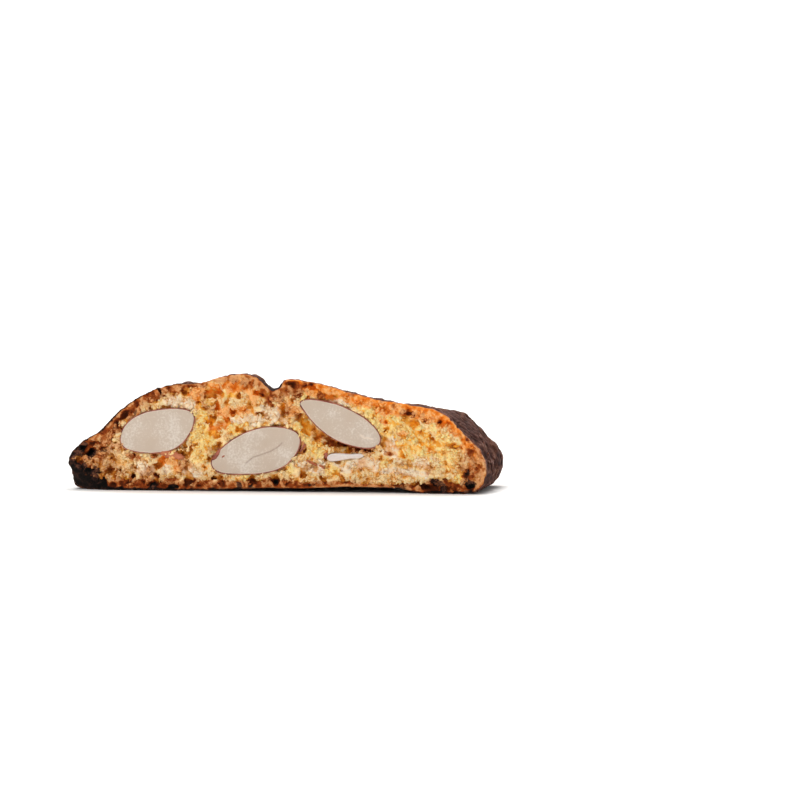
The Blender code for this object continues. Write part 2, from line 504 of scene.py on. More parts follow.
@dataclass(frozen=True)
class BakedDough:
    """Sweet almond dough baked twice: a dry open crumb where the knife cut it, and a matt brown crust.

    The egg yolk makes the crumb cream to golden. The second baking browns it from the crust inwards and
    down between its grains, where painted shade darkens it too, and leaves it dull, so that nearly all
    of its light is scattered. Each list of colours runs from the bottom of a gap, in painted shade, to
    the top of a grain, in painted light.
    """

    cream: tuple = ("#A25414", "#C4701E", "#DA8830", "#EAA248", "#F8C076", "#FFE2AC")
    pale: tuple = ("#AE6A2A", "#CC8A42", "#E0A45C", "#F0BC82", "#FAD4A6", "#FFEACC")
    gold: tuple = ("#C86408", "#E48014", "#F2961E", "#FFAA32", "#FFC258", "#FFE49C")
    orange: tuple = ("#9A3C06", "#C25208", "#DC6610", "#EC7C20", "#F4963E", "#FFBE78")
    brown: tuple = ("#4A1E0A", "#64290C", "#843812", "#A04C1C", "#BC6A32", "#DE9E66")
    # The near-black of burnt places, and of painted shade.
    char: tuple = ("#040303", "#090605", "#0E0907", "#18100C", "#36201A", "#6A4230")
    golden_crust: tuple = ("#44200E", "#683618", "#804420", "#945832", "#AC7448", "#CC9C6C")
    dark_crust: tuple = ("#0E0807", "#241310", "#38201C", "#4F312A", "#6C4A41", "#947268")
    fresh: str = "#EAA874"           # a painted highlight, a thin light line along the crust's rounded edge at a cut
    grain: float = 0.42              # a grain of crumb, in millimetres
    clump: float = 1.3               # grains that stuck together
    blotch: float = 3.5              # the oven's marks on the crust
    grit: float = 0.25               # a little coarser than flour, so that it shows
    grit_height: float = 0.22
    dullness: tuple[float, float] = (0.92, 0.8)                   # of the crumb, and of the crust
    shine: float = 0.12
    glow: float = 0.15               # how much of the light goes in

    def material(self) -> bpy.types.Material:
        """Make the material, which reads the dough's own vertex attributes for where it browned and
        where shade and light are painted.

        Returns:
            The material.
        """
        made, tree, shader = new_material("twice_baked_dough")
        where = add_node(tree, "ShaderNodeTexCoord", {}).outputs["Object"]
        grain, clump, blotch, grit = (
            add_node(tree, "ShaderNodeTexNoise", {
                "Vector": where, "Scale": per_mm(size), "Detail": detail, "Roughness": 0.6}).outputs[0]
            for size, detail in ((self.grain, 2.0), (self.clump, 3.0), (self.blotch, 3.0),
                                 (self.grit, 3.0)))
        # How far up its grain a point looks, which paints shade low and light high: its place in the
        # relief, and grain finer than the mesh.
        level = add_node(tree, "ShaderNodeAttribute", {}, attribute_name="height").outputs["Fac"]
        for noise, reach in ((grain, 0.12), (clump, 0.22)):
            shift = add_node(tree, "ShaderNodeMapRange", {
                0: noise, 1: 0.25, 2: 0.75, 3: -reach, 4: reach})
            level = add_node(tree, "ShaderNodeMath", {0: level, 1: shift.outputs[0]},
                             operation="ADD").outputs[0]
        # The level picks a colour from each list.
        picked = {}
        for name in ("cream", "pale", "gold", "orange", "brown", "char", "golden_crust", "dark_crust"):
            colours = getattr(self, name)
            ramp = add_node(tree, "ShaderNodeValToRGB", {0: level})
            stops = ramp.color_ramp.elements
            for k, colour in enumerate(colours):
                stop = stops[k] if k < len(stops) else stops.new(1.0)
                stop.position = k / (len(colours) - 1)
                stop.color = linear(colour)
            picked[name] = ramp.outputs[0]
        # A vertex attribute says where each tone lies, and noise breaks up its edge.
        laid = {}
        for name, noise, fray in (("pale", clump, 0.25), ("gold", clump, 0.25), ("orange", clump, 0.25),
                                  ("brown", clump, 0.25), ("char", clump, 0.3), ("toast_and_shade", clump, 0.15),
                                  ("fresh", grain, 0.25)):
            found = add_node(tree, "ShaderNodeAttribute", {}, attribute_name=name).outputs["Fac"]
            shift = add_node(tree, "ShaderNodeMapRange", {0: noise, 1: 0.3, 2: 0.7, 3: -fray, 4: fray})
            total = add_node(tree, "ShaderNodeMath", {0: found, 1: shift.outputs[0]}, operation="ADD")
            laid[name] = add_node(tree, "ShaderNodeMapRange", {0: total.outputs[0], 1: fray, 2: 0.85},
                                  interpolation_type="SMOOTHSTEP").outputs[0]
        shift = add_node(tree, "ShaderNodeMapRange", {0: blotch, 1: 0.3, 2: 0.7, 3: -0.15, 4: 0.15})
        toasted_and_shaded = add_node(tree, "ShaderNodeMath", {0: laid["toast_and_shade"], 1: shift.outputs[0]},
                           operation="ADD", use_clamp=True).outputs[0]
        outside = add_node(tree, "ShaderNodeAttribute", {}, attribute_name="crust").outputs["Fac"]
        # The crust is golden brown, and purple brown in blotches where it was toasted more and where
        # shade is painted on it.
        crust = picked["golden_crust"]
        # Then the painted highlight along its edge at a cut.
        for share, over in ((toasted_and_shaded, picked["dark_crust"]), (laid["fresh"], linear(self.fresh))):
            crust = add_node(tree, "ShaderNodeMix", {0: share, 6: crust, 7: over},
                             data_type="RGBA").outputs[2]
        # The tones lie over one another: the crumb's from cream to brown, then the crust, then char and
        # painted shade.
        colour = picked["cream"]
        crumb = [(laid[tone.value], picked[tone.value])
                 for tone in (Tone.PALE, Tone.GOLD, Tone.ORANGE, Tone.BROWN)]
        for share, over in (*crumb, (outside, crust), (laid["char"], picked["char"])):
            colour = add_node(tree, "ShaderNodeMix", {0: share, 6: colour, 7: over},
                              data_type="RGBA").outputs[2]
        tree.links.new(colour, shader.inputs["Base Color"])
        bump = add_node(tree, "ShaderNodeBump", {
            "Strength": 0.9, "Distance": self.grit_height * MM, "Height": grit})
        tree.links.new(bump.outputs[0], shader.inputs["Normal"])
        # The crumb is quite dull, and the crust a little less so.
        crumb_dull, crust_dull = self.dullness
        dullness = add_node(tree, "ShaderNodeMapRange", {0: outside, 3: crumb_dull, 4: crust_dull})
        tree.links.new(dullness.outputs[0], shader.inputs["Roughness"])
        shader.inputs["Specular IOR Level"].default_value = self.shine
        # Light goes a little way in and comes out warmer, so that no gap is quite black.
        shader.inputs["Subsurface Weight"].default_value = self.glow
        shader.inputs["Subsurface Radius"].default_value = (1.0, 0.7, 0.4)
        shader.inputs["Subsurface Scale"].default_value = 0.5 * MM
        return made


@dataclass(frozen=True)
class AlmondFlesh:
    """A blanched white almond kernel, sliced by a knife: smooth, waxy and a little see-through."""

    name: str = "sliced_almond_kernel"
    ivory: str = "#C0AA95"
    cool: str = "#CABCAD"
    fleck: str = "#E2D8CC"
    edge: str = "#DCCBB9"
    cleft: str = "#94796A"
    wave: float = 5.0                # from one tint to the other, in millimetres
    fleck_size: float = 0.4
    grain: float = 0.25              # the cut's own fine marks
    grain_height: float = 0.05

    def material(self) -> bpy.types.Material:
        """Make the material, which reads where the kernel's rim and its cleft are.

        Returns:
            The material.
        """
        made, tree, shader = new_material(self.name)
        where = add_node(tree, "ShaderNodeTexCoord", {}).outputs["Object"]
        wave, fleck, grain = (
            add_node(tree, "ShaderNodeTexNoise", {
                "Vector": where, "Scale": per_mm(size), "Detail": detail}).outputs[0]
            for size, detail in ((self.wave, 3.0), (self.fleck_size, 2.0), (self.grain, 3.0)))
        # The knife left fine pale flecks, more in some places than in others.
        fleck = add_node(tree, "ShaderNodeMath", {0: fleck, 1: wave}, operation="ADD").outputs[0]
        fleck = add_node(tree, "ShaderNodeMapRange", {0: fleck, 1: 1.02, 2: 1.3, 4: 0.6}).outputs[0]
        rim, cleft = (add_node(tree, "ShaderNodeAttribute", {}, attribute_name=name).outputs["Fac"]
                      for name in ("rim", "cleft"))
        colour = linear(self.ivory)
        for share, over in ((wave, self.cool), (fleck, self.fleck), (rim, self.edge),
                            (cleft, self.cleft)):
            colour = add_node(tree, "ShaderNodeMix", {0: share, 6: colour, 7: linear(over)},
                              data_type="RGBA").outputs[2]
        tree.links.new(colour, shader.inputs["Base Color"])
        bump = add_node(tree, "ShaderNodeBump", {
            "Strength": 0.35, "Distance": self.grain_height * MM, "Height": grain})
        tree.links.new(bump.outputs[0], shader.inputs["Normal"])
        shader.inputs["Roughness"].default_value = 0.5
        shader.inputs["Specular IOR Level"].default_value = 0.4
        return made


PEELED = AlmondFlesh(name="dried_almond_sliver", ivory="#DCCDC2", cool="#D8CCC8", fleck="#EAE2DC",
                     edge="#E4DAD2")


@dataclass(frozen=True)
class AlmondSkin:
    """The almond's own thin brown skin, dried in the oven until it wrinkled."""

    name: str = "dried_almond_skin"
    red: str = "#B4684F"
    brown: str = "#7A3424"
    wrinkle: float = 2.2             # from one wrinkle to the next, in millimetres

    def material(self) -> bpy.types.Material:
        """Make the material.

        Returns:
            The material.
        """
        made, tree, shader = new_material(self.name)
        where = add_node(tree, "ShaderNodeTexCoord", {}).outputs["Object"]
        wave = add_node(tree, "ShaderNodeTexNoise", {
            "Vector": where, "Scale": per_mm(self.wrinkle), "Detail": 4.0}).outputs[0]
        share = add_node(tree, "ShaderNodeMapRange", {0: wave, 1: 0.35, 2: 0.65}).outputs[0]
        colour = add_node(tree, "ShaderNodeMix", {0: share, 6: linear(self.red), 7: linear(self.brown)},
                          data_type="RGBA").outputs[2]
        tree.links.new(colour, shader.inputs["Base Color"])
        shader.inputs["Roughness"].default_value = 0.6
        return made


SOAKED_SKIN = AlmondSkin(name="soaked_almond_skin", red="#CC7C54", brown="#A8562E")


@dataclass(frozen=True)
class StudioCard:
    """Matt white card, as a photographer's sweep is made of."""

    white: str = "#F6F5F3"

    def material(self) -> bpy.types.Material:
        """Make the material.

        Returns:
            The material.
        """
        made, _, shader = new_material("matt_white_card")
        shader.inputs["Base Color"].default_value = linear(self.white)
        shader.inputs["Roughness"].default_value = 0.9
        return made


# --- almonds ---------------------------------------------------------------------------


@dataclass(frozen=True)
class Flank:
    """How an almond's section swells on one side of its long axis."""

    half: float          # about the widest it gets, from the axis
    skew: float          # above 0 it is widest nearer its right end
    full: float          # above 0 its ends are blunt, below 0 they are drawn out
    lean: float          # above 0 its right end is blunter than its left one

    def width(self, along: np.ndarray) -> np.ndarray:
        """Work out the section's half width.

        Args:
            along: Places along the axis, which runs from -1 to 1.

        Returns:
            The half width at each place.
        """
        swell = 1 + self.skew * along + self.full * (2 * along ** 2 - 1)
        swell = swell + self.lean * (4 * along ** 3 - 3 * along)
        return self.half * np.sqrt(np.clip(1 - along ** 2, 0, None)) * swell


@dataclass
class Almond:
    """A whole almond baked in the dough, which a knife cut through the middle."""

    name: str
    side: Side
    centre: tuple[float, float]
    tilt: float          # degrees, rising to the right
    length: float
    upper: Flank
    lower: Flank
    depth: float         # how far it reaches behind the cut
    cleft: tuple[tuple[float, float], ...] = ()       # the line where its two halves meet
    nick: tuple[tuple[float, float], ...] = ()        # a pale scratch
    peeled: bool = False
    ragged: float = 0.09
    skin: float = 0.18
    proud: float = 0.08  # how far the kernel stands in front of the cut
    skin_proud: float = 0.05
    groove: float = 0.14                              # the cleft's half width
    voxel: float = 0.16
    segments: int = 64
    rings: int = 48

    @property
    def face(self) -> float:
        """Where the almond's cut face lies, in Y."""
        return self.side.value * Slice.half_thickness

    def shape(self, room: float, cut: float | None) -> bmesh.types.BMesh:
        """The almond's closed surface.

        Args:
            room: How much larger it is all round than the bare kernel.
            cut: How far the cut lies in front of the slice's face, or None for no cut.

        Returns:
            The surface as a bmesh, in millimetres.
        """
        bm = bmesh.new()
        bmesh.ops.create_uvsphere(bm, u_segments=self.segments, v_segments=self.rings, radius=1)
        ball = np.array([vert.co for vert in bm.verts])
        along = np.clip(ball[:, 2], -1.0, 1.0)
        ring = np.hypot(ball[:, 0], ball[:, 1])
        ring[np.abs(along) > 1 - 1e-6] = np.inf       # the two tips lie on the axis
        across, inward = ball[:, 1] / ring, ball[:, 0] / ring
        upper, lower = self.upper.width(along), self.lower.width(along)
        reach = np.where(across > 0, upper, lower)
        thick = self.depth * (upper + lower) / (self.upper.half + self.lower.half)
        long, high = turned(along * (self.length / 2 + room), across * (reach + room), self.tilt)
        for vert, x, y, z in zip(bm.verts, long, inward * (thick + room), high):
            vert.co = (self.centre[0] + x, self.face + y, self.centre[1] + z)
        if cut is not None:
            found = bmesh.ops.bisect_plane(bm, geom=bm.verts[:] + bm.edges[:] + bm.faces[:],
                                           plane_co=(0, self.face + self.side.value * cut, 0),
                                           plane_no=(0, self.side.value, 0), clear_outer=True)
            edges = [g for g in found["geom_cut"] if isinstance(g, bmesh.types.BMEdge)]
            bmesh.ops.holes_fill(bm, edges=edges)
        bmesh.ops.recalc_face_normals(bm, faces=bm.faces)
        return bm

    def clearance(self, places: np.ndarray) -> np.ndarray:
        """Work out about how far places lie outside the kernel's section.

        Args:
            places: The places, in millimetres.

        Returns:
            The distances, which are below 0 inside it.
        """
        along, high = turned(places[:, 0] - self.centre[0], places[:, 2] - self.centre[1], -self.tilt)
        along = along / (self.length / 2)
        beyond = (np.abs(along) - 1) * self.length / 2
        inside = np.clip(along, -1, 1)
        width = np.where(high > 0, self.upper.width(inside), self.lower.width(inside))
        return np.maximum(np.abs(high) - width, beyond)

    def build(self, flesh: bpy.types.Material, skin: bpy.types.Material, lattice: Lattice) -> None:
        """Make the cut kernel, and the skin round it if it still has one.

        Args:
            flesh: The kernel's finish.
            skin: The skin's finish.
            lattice: The noise that makes no two alike.
        """
        self._build_kernel(flesh, lattice)
        if not self.peeled:
            self._build_skin(skin, lattice)

    def _build_kernel(self, flesh: bpy.types.Material, lattice: Lattice) -> None:
        """Make the kernel, a little uneven, with its cleft pressed in.

        Args:
            flesh: Its finish.
            lattice: The noise that makes no two alike.
        """
        kernel = link(self.name + "_kernel", mesh_of(self.name, self.shape(0.0, self.proud)))
        apply(kernel, "REMESH", mode="VOXEL", voxel_size=self.voxel * MM)
        points, normals = points_of(kernel.data), normals_of(kernel.data)
        ragged = self.ragged * (lattice.waves(points, 2.5) + 0.5) + 0.03 * lattice.waves(points, 0.8)
        points += normals * ragged[:, None]
        pressed = np.exp(-(self._from_line(points, self.cleft) / self.groove) ** 2)
        points[:, 1] -= self.side.value * 0.12 * pressed
        move_points(kernel.data, points)
        store(kernel.data, "cleft", 0.6 * pressed)
        rim = 0.6 * smooth_step(-0.35, 0.0, self.clearance(points))
        scratch = smooth_step(0.3, 0.1, self._from_line(points, self.nick))
        store(kernel.data, "rim", np.maximum(rim, scratch))
        kernel.data.materials.append(flesh)
        settle(kernel, "almond_kernel", self.name)

    def _build_skin(self, skin: bpy.types.Material, lattice: Lattice) -> None:
        """Make the skin, a thin cup round the kernel that is open at the cut.

        Args:
            skin: Its finish.
            lattice: The noise that wrinkles it.
        """
        shell = self.shape(self.skin, self.skin_proud)
        caps = [f for f in shell.faces if abs(f.normal.y) > 0.99 and f.normal.y * self.side.value > 0
                and abs(f.calc_center_median().y - self.face) < 0.3]
        bmesh.ops.delete(shell, geom=caps, context="FACES_ONLY")
        coat = link(self.name + "_skin", mesh_of(self.name + "_skin", shell))
        points = points_of(coat.data)
        points[:, 1] += 0.06 * lattice.waves(points, 1.2)
        move_points(coat.data, points)
        apply(coat, "SOLIDIFY", thickness=self.skin * 1.15 * MM, offset=-1.0, use_even_offset=True)
        coat.data.materials.append(skin)
        settle(coat, "almond_kernel")

    def _from_line(self, points: np.ndarray, line: tuple[tuple[float, float], ...]) -> np.ndarray:
        """Measure how far points lie from a line drawn on the cut face.

        Args:
            points: The points.
            line: The line's corners.

        Returns:
            The distances, which are large for points behind the face.
        """
        far = 9.0
        near = np.full(len(points), far)
        flat = points[:, [0, 2]]
        for start, end in zip(line, line[1:]):
            start, run = np.array(start), np.subtract(end, start)
            share = np.clip(((flat - start) @ run) / (run @ run), 0, 1)
            near = np.minimum(near, np.linalg.norm(flat - start - share[:, None] * run, axis=1))
        return np.where(np.abs(points[:, 1] - self.face) < 0.3, near, far)


@dataclass(frozen=True)
class Flake:
    """A torn scrap of almond skin that lies on the front cut."""

    x: float
    z: float
    length: float
    width: float
    tilt: float          # degrees, rising to the right
    lift: float          # how far its middle stands in front of the cut

    def sheet(self, bm: bmesh.types.BMesh, lattice: Lattice) -> None:
        """Add the scrap to a bmesh as a thin curled sheet.

        Args:
            bm: The bmesh, in millimetres.
            lattice: The noise that tears its edge.
        """
        found = bmesh.ops.create_grid(bm, x_segments=20, y_segments=7, size=1.0)
        for vert in found["verts"]:
            along, across = vert.co.x, vert.co.y
            torn = float(lattice.waves(np.array([[self.x + 9 * along, 5 * across, self.z]]), 1.6)[0])
            high = 0.5 * self.width * across * (1 - 0.55 * along ** 2) * (1 + 0.8 * torn)
            long = 0.5 * self.length * along * (1 + 0.3 * torn)
            y = -Slice.half_thickness - self.lift * (1 - along ** 2) + 0.25 * across ** 2 + 0.1 * torn
            x, z = turned(long, high, self.tilt)
            vert.co = (self.x + x, y, self.z + z)


@dataclass
class SkinScraps:
    """Scraps of almond skin, as one joined piece."""

    name: str
    flakes: tuple[Flake, ...]
    thickness: float = 0.14

    def build(self, skin: bpy.types.Material, lattice: Lattice) -> None:
        """Make the scraps.

        Args:
            skin: Their finish.
            lattice: The noise that tears their edges.
        """
        bm = bmesh.new()
        for flake in self.flakes:
            flake.sheet(bm, lattice)
        piece = link(self.name, mesh_of(self.name, bm))
        apply(piece, "SOLIDIFY", thickness=self.thickness * MM, offset=0.0)
        piece.data.materials.append(skin)
        settle(piece, "almond_kernel")


# --- dough -----------------------------------------------------------------------------


@dataclass(frozen=True)
class Spot:
    """A tilted oval on a cut face: a hollow of some depth, or a patch of a tone."""

    x: float
    z: float
    half_x: float
    half_z: float
    tilt: float
    amount: float        # millimetres for a hollow, a share for a tone

    def share(self, places: np.ndarray, fuzz: np.ndarray) -> np.ndarray:
        """How much of the spot each place gets.

        Args:
            places: The points.
            fuzz: Noise for each point, which frays the spot's edge.

        Returns:
            The amount, fading to 0 at the spot's edge.
        """
        along, across = turned(places[:, 0] - self.x, places[:, 2] - self.z, -self.tilt)
        from_middle = np.hypot(along / self.half_x, across / self.half_z)
        return self.amount * smooth_step(1.25, 0.55, from_middle + 0.5 * fuzz)


FRONT_HOLLOWS = (
    # The dough drew back from the right almond's lower side.
    Spot(6.8, 13.2, 3.6, 2.6, -50.0, 0.9), Spot(10.8, 10.9, 4.6, 2.0, -28.0, 0.8),
    Spot(15.5, 9.7, 4.6, 1.2, -14.0, 0.9),
    # Smooth hollows that steam left.
    Spot(-9.4, 16.7, 2.8, 0.75, 8.0, 0.9), Spot(-24.6, 6.4, 1.6, 0.6, -10.0, 1.0),
    Spot(-22.0, 4.9, 0.8, 0.6, 0.0, 0.8), Spot(0.5, 17.4, 0.5, 1.0, 10.0, 0.9),
    Spot(3.4, 16.0, 1.0, 0.7, -40.0, 0.35), Spot(28.0, 14.2, 1.0, 0.45, -36.0, 0.7),
    Spot(30.5, 8.9, 1.2, 0.45, -32.0, 0.7), Spot(31.8, 11.2, 0.9, 0.5, -30.0, 0.8),
    Spot(21.6, 14.7, 1.0, 0.5, -25.0, 0.8), Spot(26.3, 7.4, 0.9, 0.4, -30.0, 0.8),
    # The crack goes on into the crumb.
    Spot(-2.0, 19.2, 0.5, 1.4, 0.0, 0.7), Spot(-13.2, 17.4, 0.5, 1.7, -5.0, 0.7),
    # Pits.
    Spot(-25.2, 20.5, 1.1, 0.6, -10.0, 0.9), Spot(-23.5, 19.8, 0.5, 0.4, 0.0, 0.8),
    Spot(-31.0, 16.7, 0.6, 0.5, 0.0, 1.0), Spot(-34.6, 13.5, 0.6, 0.8, 20.0, 0.7),
    Spot(-33.6, 15.0, 0.5, 0.4, 0.0, 0.8), Spot(-40.4, 7.7, 0.9, 0.8, 30.0, 0.8),
    Spot(-37.6, 8.4, 0.6, 0.5, 20.0, 0.9), Spot(-37.6, 5.6, 0.5, 0.4, 0.0, 0.8),
    Spot(-31.2, 6.9, 1.3, 0.7, -15.0, 0.6), Spot(-26.6, 7.2, 0.9, 0.5, 0.0, 0.4),
    Spot(-31.6, 2.9, 0.6, 0.9, 20.0, 0.8), Spot(-26.2, 3.0, 0.9, 0.5, 0.0, 0.8),
    Spot(-33.4, 4.6, 0.9, 0.4, -20.0, 0.7), Spot(-26.6, 1.2, 1.0, 0.6, 0.0, 0.2),
    Spot(-22.6, 0.9, 0.8, 0.5, 0.0, 0.15), Spot(-8.6, 1.4, 0.7, 0.5, 0.0, 0.2),
    Spot(-1.1, 1.8, 0.5, 0.4, 0.0, 0.8), Spot(3.1, 5.3, 0.9, 0.35, 30.0, 0.9),
    Spot(26.6, 16.6, 1.2, 0.5, -10.0, 0.5), Spot(32.9, 14.9, 0.6, 0.5, 20.0, 0.8),
    Spot(30.2, 15.2, 0.5, 0.6, 0.0, 0.8), Spot(39.2, 11.3, 0.5, 0.5, 0.0, 0.8),
    Spot(39.6, 8.3, 0.5, 0.5, 0.0, 0.8), Spot(40.8, 4.8, 0.8, 0.5, -20.0, 0.6),
    Spot(38.8, 3.7, 0.5, 0.8, 0.0, 0.4), Spot(39.5, 1.9, 1.2, 0.8, 20.0, 0.4),
    Spot(32.7, 2.3, 1.2, 0.9, -20.0, 0.4), Spot(34.0, 1.3, 1.0, 0.6, 0.0, 0.3),
    Spot(30.6, 1.3, 0.8, 0.5, 0.0, 0.3), Spot(25.4, 1.6, 0.7, 0.5, 0.0, 0.4),
)

FRONT_TONES = {
    Tone.GOLD: (
        Spot(-16.2, 16.8, 1.8, 2.6, 0.0, 1.5), Spot(-16.3, 12.2, 3.0, 2.8, 30.0, 1.5),
        Spot(-15.0, 9.6, 2.4, 1.8, 0.0, 1.0), Spot(-17.6, 7.2, 2.4, 1.4, 0.0, 0.7),
        Spot(25.0, 13.6, 5.6, 2.4, -25.0, 1.3), Spot(28.6, 10.2, 4.8, 3.0, -28.0, 1.0),
        Spot(21.8, 12.6, 2.2, 1.8, 0.0, 0.8), Spot(26.0, 8.0, 2.0, 1.2, -20.0, 1.0),
        Spot(34.4, 9.2, 3.0, 4.4, 10.0, 0.75), Spot(7.2, 9.0, 2.2, 1.8, 0.0, 1.2),
        Spot(37.2, 3.2, 1.2, 1.4, 0.0, 1.0), Spot(-11.0, 20.6, 1.6, 1.3, 0.0, 0.9),
        Spot(0.6, 17.4, 0.9, 1.6, 0.0, 0.8), Spot(18.6, 17.0, 3.6, 1.0, -24.0, 0.8)),
    Tone.PALE: (
        Spot(-20.6, 18.2, 4.0, 1.3, -6.0, 1.3), Spot(-6.4, 14.9, 4.0, 1.1, 2.0, 1.3),
        Spot(-1.6, 16.4, 3.4, 2.0, -20.0, 1.0), Spot(-28.8, 5.0, 2.2, 1.6, 0.0, 1.2),
        Spot(-24.0, 4.6, 1.4, 1.2, 0.0, 0.9), Spot(-19.0, 3.8, 2.6, 1.2, 0.0, 0.8),
        Spot(17.2, 6.4, 3.6, 1.8, -14.0, 1.0), Spot(26.0, 4.4, 5.2, 0.9, -4.0, 1.3),
        Spot(29.6, 6.4, 2.2, 1.4, -25.0, 1.0), Spot(23.0, 10.6, 1.6, 1.4, -20.0, 0.9),
        Spot(7.5, 5.2, 4.6, 1.5, -8.0, 0.9), Spot(12.5, 5.0, 3.0, 1.3, 0.0, 0.9),
        Spot(35.6, 9.4, 1.9, 3.4, 10.0, 0.6), Spot(-36.4, 8.6, 1.6, 3.6, 20.0, 0.5),
        Spot(12.4, 19.0, 3.2, 0.8, -14.0, 0.9), Spot(23.6, 8.4, 2.6, 1.6, -24.0, 0.9),
        Spot(32.4, 8.0, 4.4, 2.0, -24.0, 0.6)),
    Tone.ORANGE: (
        Spot(-17.4, 20.8, 2.6, 1.6, 8.0, 1.0), Spot(-12.4, 14.0, 1.6, 1.2, 20.0, 1.2),
        Spot(-14.4, 13.2, 1.0, 0.7, 0.0, 1.0), Spot(-9.2, 16.7, 3.0, 0.9, 8.0, 1.5),
        Spot(-11.6, 16.4, 0.9, 1.6, 0.0, 1.0), Spot(-13.0, 17.6, 0.9, 2.0, -5.0, 1.1),
        Spot(-9.0, 22.2, 5.6, 1.7, 4.0, 1.4), Spot(-5.2, 20.4, 2.4, 1.8, -20.0, 0.8),
        Spot(-24.2, 6.4, 2.4, 1.0, -8.0, 1.4), Spot(-22.0, 4.8, 1.0, 0.9, 0.0, 1.0),
        Spot(2.2, 17.4, 2.8, 2.4, -20.0, 0.8), Spot(8.0, 20.6, 4.6, 1.3, -10.0, 1.2),
        Spot(16.5, 19.0, 6.0, 1.1, -14.0, 1.1), Spot(24.0, 17.3, 4.0, 1.6, -8.0, 1.5),
        Spot(31.6, 15.8, 4.6, 1.7, -22.0, 1.5), Spot(36.6, 13.2, 2.2, 1.4, -48.0, 1.3),
        Spot(38.6, 10.4, 1.4, 2.6, 25.0, 0.9), Spot(40.4, 6.5, 1.5, 4.5, 6.0, 0.9),
        Spot(10.0, 7.9, 0.8, 1.0, 0.0, 1.2), Spot(8.6, 11.0, 3.0, 1.0, -30.0, 0.5),
        Spot(21.6, 14.7, 1.1, 0.6, -25.0, 1.0), Spot(31.0, 8.9, 1.5, 0.6, -32.0, 0.7),
        Spot(25.4, 12.2, 1.2, 0.8, 0.0, 0.7)),
    Tone.BROWN: (
        Spot(-40.2, 8.8, 3.6, 3.4, 40.0, 1.1), Spot(-36.0, 12.6, 3.2, 2.4, 45.0, 1.1),
        Spot(-31.6, 17.2, 3.8, 1.6, 36.0, 1.1), Spot(-25.6, 20.2, 4.6, 1.3, 18.0, 1.0),
        Spot(-21.0, 21.6, 3.0, 0.9, 6.0, 0.7), Spot(-10.0, 23.2, 1.3, 0.8, 0.0, 1.1),
        Spot(-7.2, 22.9, 0.8, 0.8, 0.0, 0.7), Spot(-3.0, 21.6, 1.4, 1.3, -50.0, 0.7),
        Spot(-1.8, 19.2, 1.0, 1.9, 0.0, 1.2), Spot(2.9, 20.7, 3.2, 1.0, -2.0, 0.95),
        Spot(0.2, 21.2, 1.2, 1.0, 0.0, 0.85), Spot(2.4, 22.2, 3.0, 1.2, 0.0, 0.8),
        Spot(8.4, 20.4, 1.3, 0.9, -30.0, 1.1),
        Spot(3.4, 16.0, 1.2, 0.8, -40.0, 0.7), Spot(26.6, 16.6, 1.6, 0.6, -10.0, 1.2),
        Spot(30.3, 15.0, 0.9, 0.6, 20.0, 0.9), Spot(33.0, 14.9, 0.7, 0.6, 20.0, 0.9),
        # These two are painted shade in the hollow under the right almond's lower side.
        Spot(15.0, 9.5, 5.0, 1.1, -12.0, 1.0), Spot(10.4, 10.6, 2.4, 0.8, -25.0, 0.7),
        Spot(4.8, 9.2, 0.7, 1.1, 0.0, 1.1), Spot(-31.0, 7.0, 1.6, 0.8, -10.0, 1.1),
        Spot(-26.6, 7.2, 1.0, 0.6, 0.0, 0.9), Spot(-34.0, 4.4, 4.4, 2.8, 0.0, 0.5),
        Spot(-31.7, 2.9, 0.8, 1.1, 20.0, 0.9), Spot(-26.2, 3.0, 1.1, 0.7, 0.0, 0.9),
        Spot(40.7, 4.8, 1.2, 0.9, -20.0, 1.1), Spot(39.6, 8.3, 0.8, 0.9, 0.0, 0.9),
        Spot(39.1, 11.3, 0.8, 0.7, 0.0, 0.9), Spot(40.0, 4.6, 2.6, 4.6, 8.0, 0.75),
        Spot(22.6, 8.1, 1.0, 0.6, 0.0, 0.7), Spot(-41.6, 5.2, 2.4, 1.0, -10.0, 1.3),
        Spot(-6.0, 22.6, 6.0, 1.4, -4.0, 0.7), Spot(-1.4, 19.8, 3.0, 1.6, 0.0, 0.8),
        Spot(-37.0, 10.4, 3.0, 2.0, 30.0, 0.7), Spot(33.2, 2.2, 2.2, 1.4, -10.0, 0.9),
        Spot(39.4, 2.8, 2.0, 2.6, 10.0, 1.1)),
    # Near-black, partly burnt and partly painted shade: the left corner, the pits, and spots low along
    # the base.
    Tone.CHAR: (
        Spot(-41.6, 1.2, 5.4, 3.3, -25.0, 1.8), Spot(-44.6, 5.6, 1.2, 1.4, 0.0, 1.6),
        Spot(-43.3, 8.2, 3.2, 0.9, 46.0, 1.3), Spot(-40.4, 7.7, 1.2, 1.0, 30.0, 1.2),
        Spot(-42.6, 7.4, 1.2, 0.9, 45.0, 0.8), Spot(-31.0, 16.7, 0.7, 0.6, 0.0, 0.5),
        Spot(-34.6, 13.5, 0.7, 0.9, 20.0, 0.6), Spot(-25.2, 20.5, 1.2, 0.7, -10.0, 0.3),
        Spot(-37.6, 8.4, 0.7, 0.6, 20.0, 0.6), Spot(-26.6, 1.2, 1.2, 0.7, 0.0, 1.1),
        Spot(-22.6, 0.8, 1.0, 0.6, 0.0, 1.1), Spot(-8.6, 1.4, 0.8, 0.6, 0.0, 1.0),
        Spot(-6.3, 1.2, 0.6, 0.6, 0.0, 0.9), Spot(-1.1, 1.8, 0.6, 0.5, 0.0, 1.0),
        Spot(6.0, 1.6, 1.4, 0.4, 0.0, 0.6), Spot(32.8, 2.4, 1.7, 1.3, -20.0, 0.85),
        Spot(34.2, 1.3, 1.5, 0.9, 0.0, 0.8), Spot(30.6, 1.2, 1.0, 0.6, 0.0, 0.6),
        Spot(25.4, 1.5, 1.0, 0.6, 0.0, 0.6), Spot(39.5, 2.1, 1.6, 1.1, 20.0, 0.9),
        Spot(38.8, 3.7, 0.7, 1.1, 0.0, 0.7)),
}

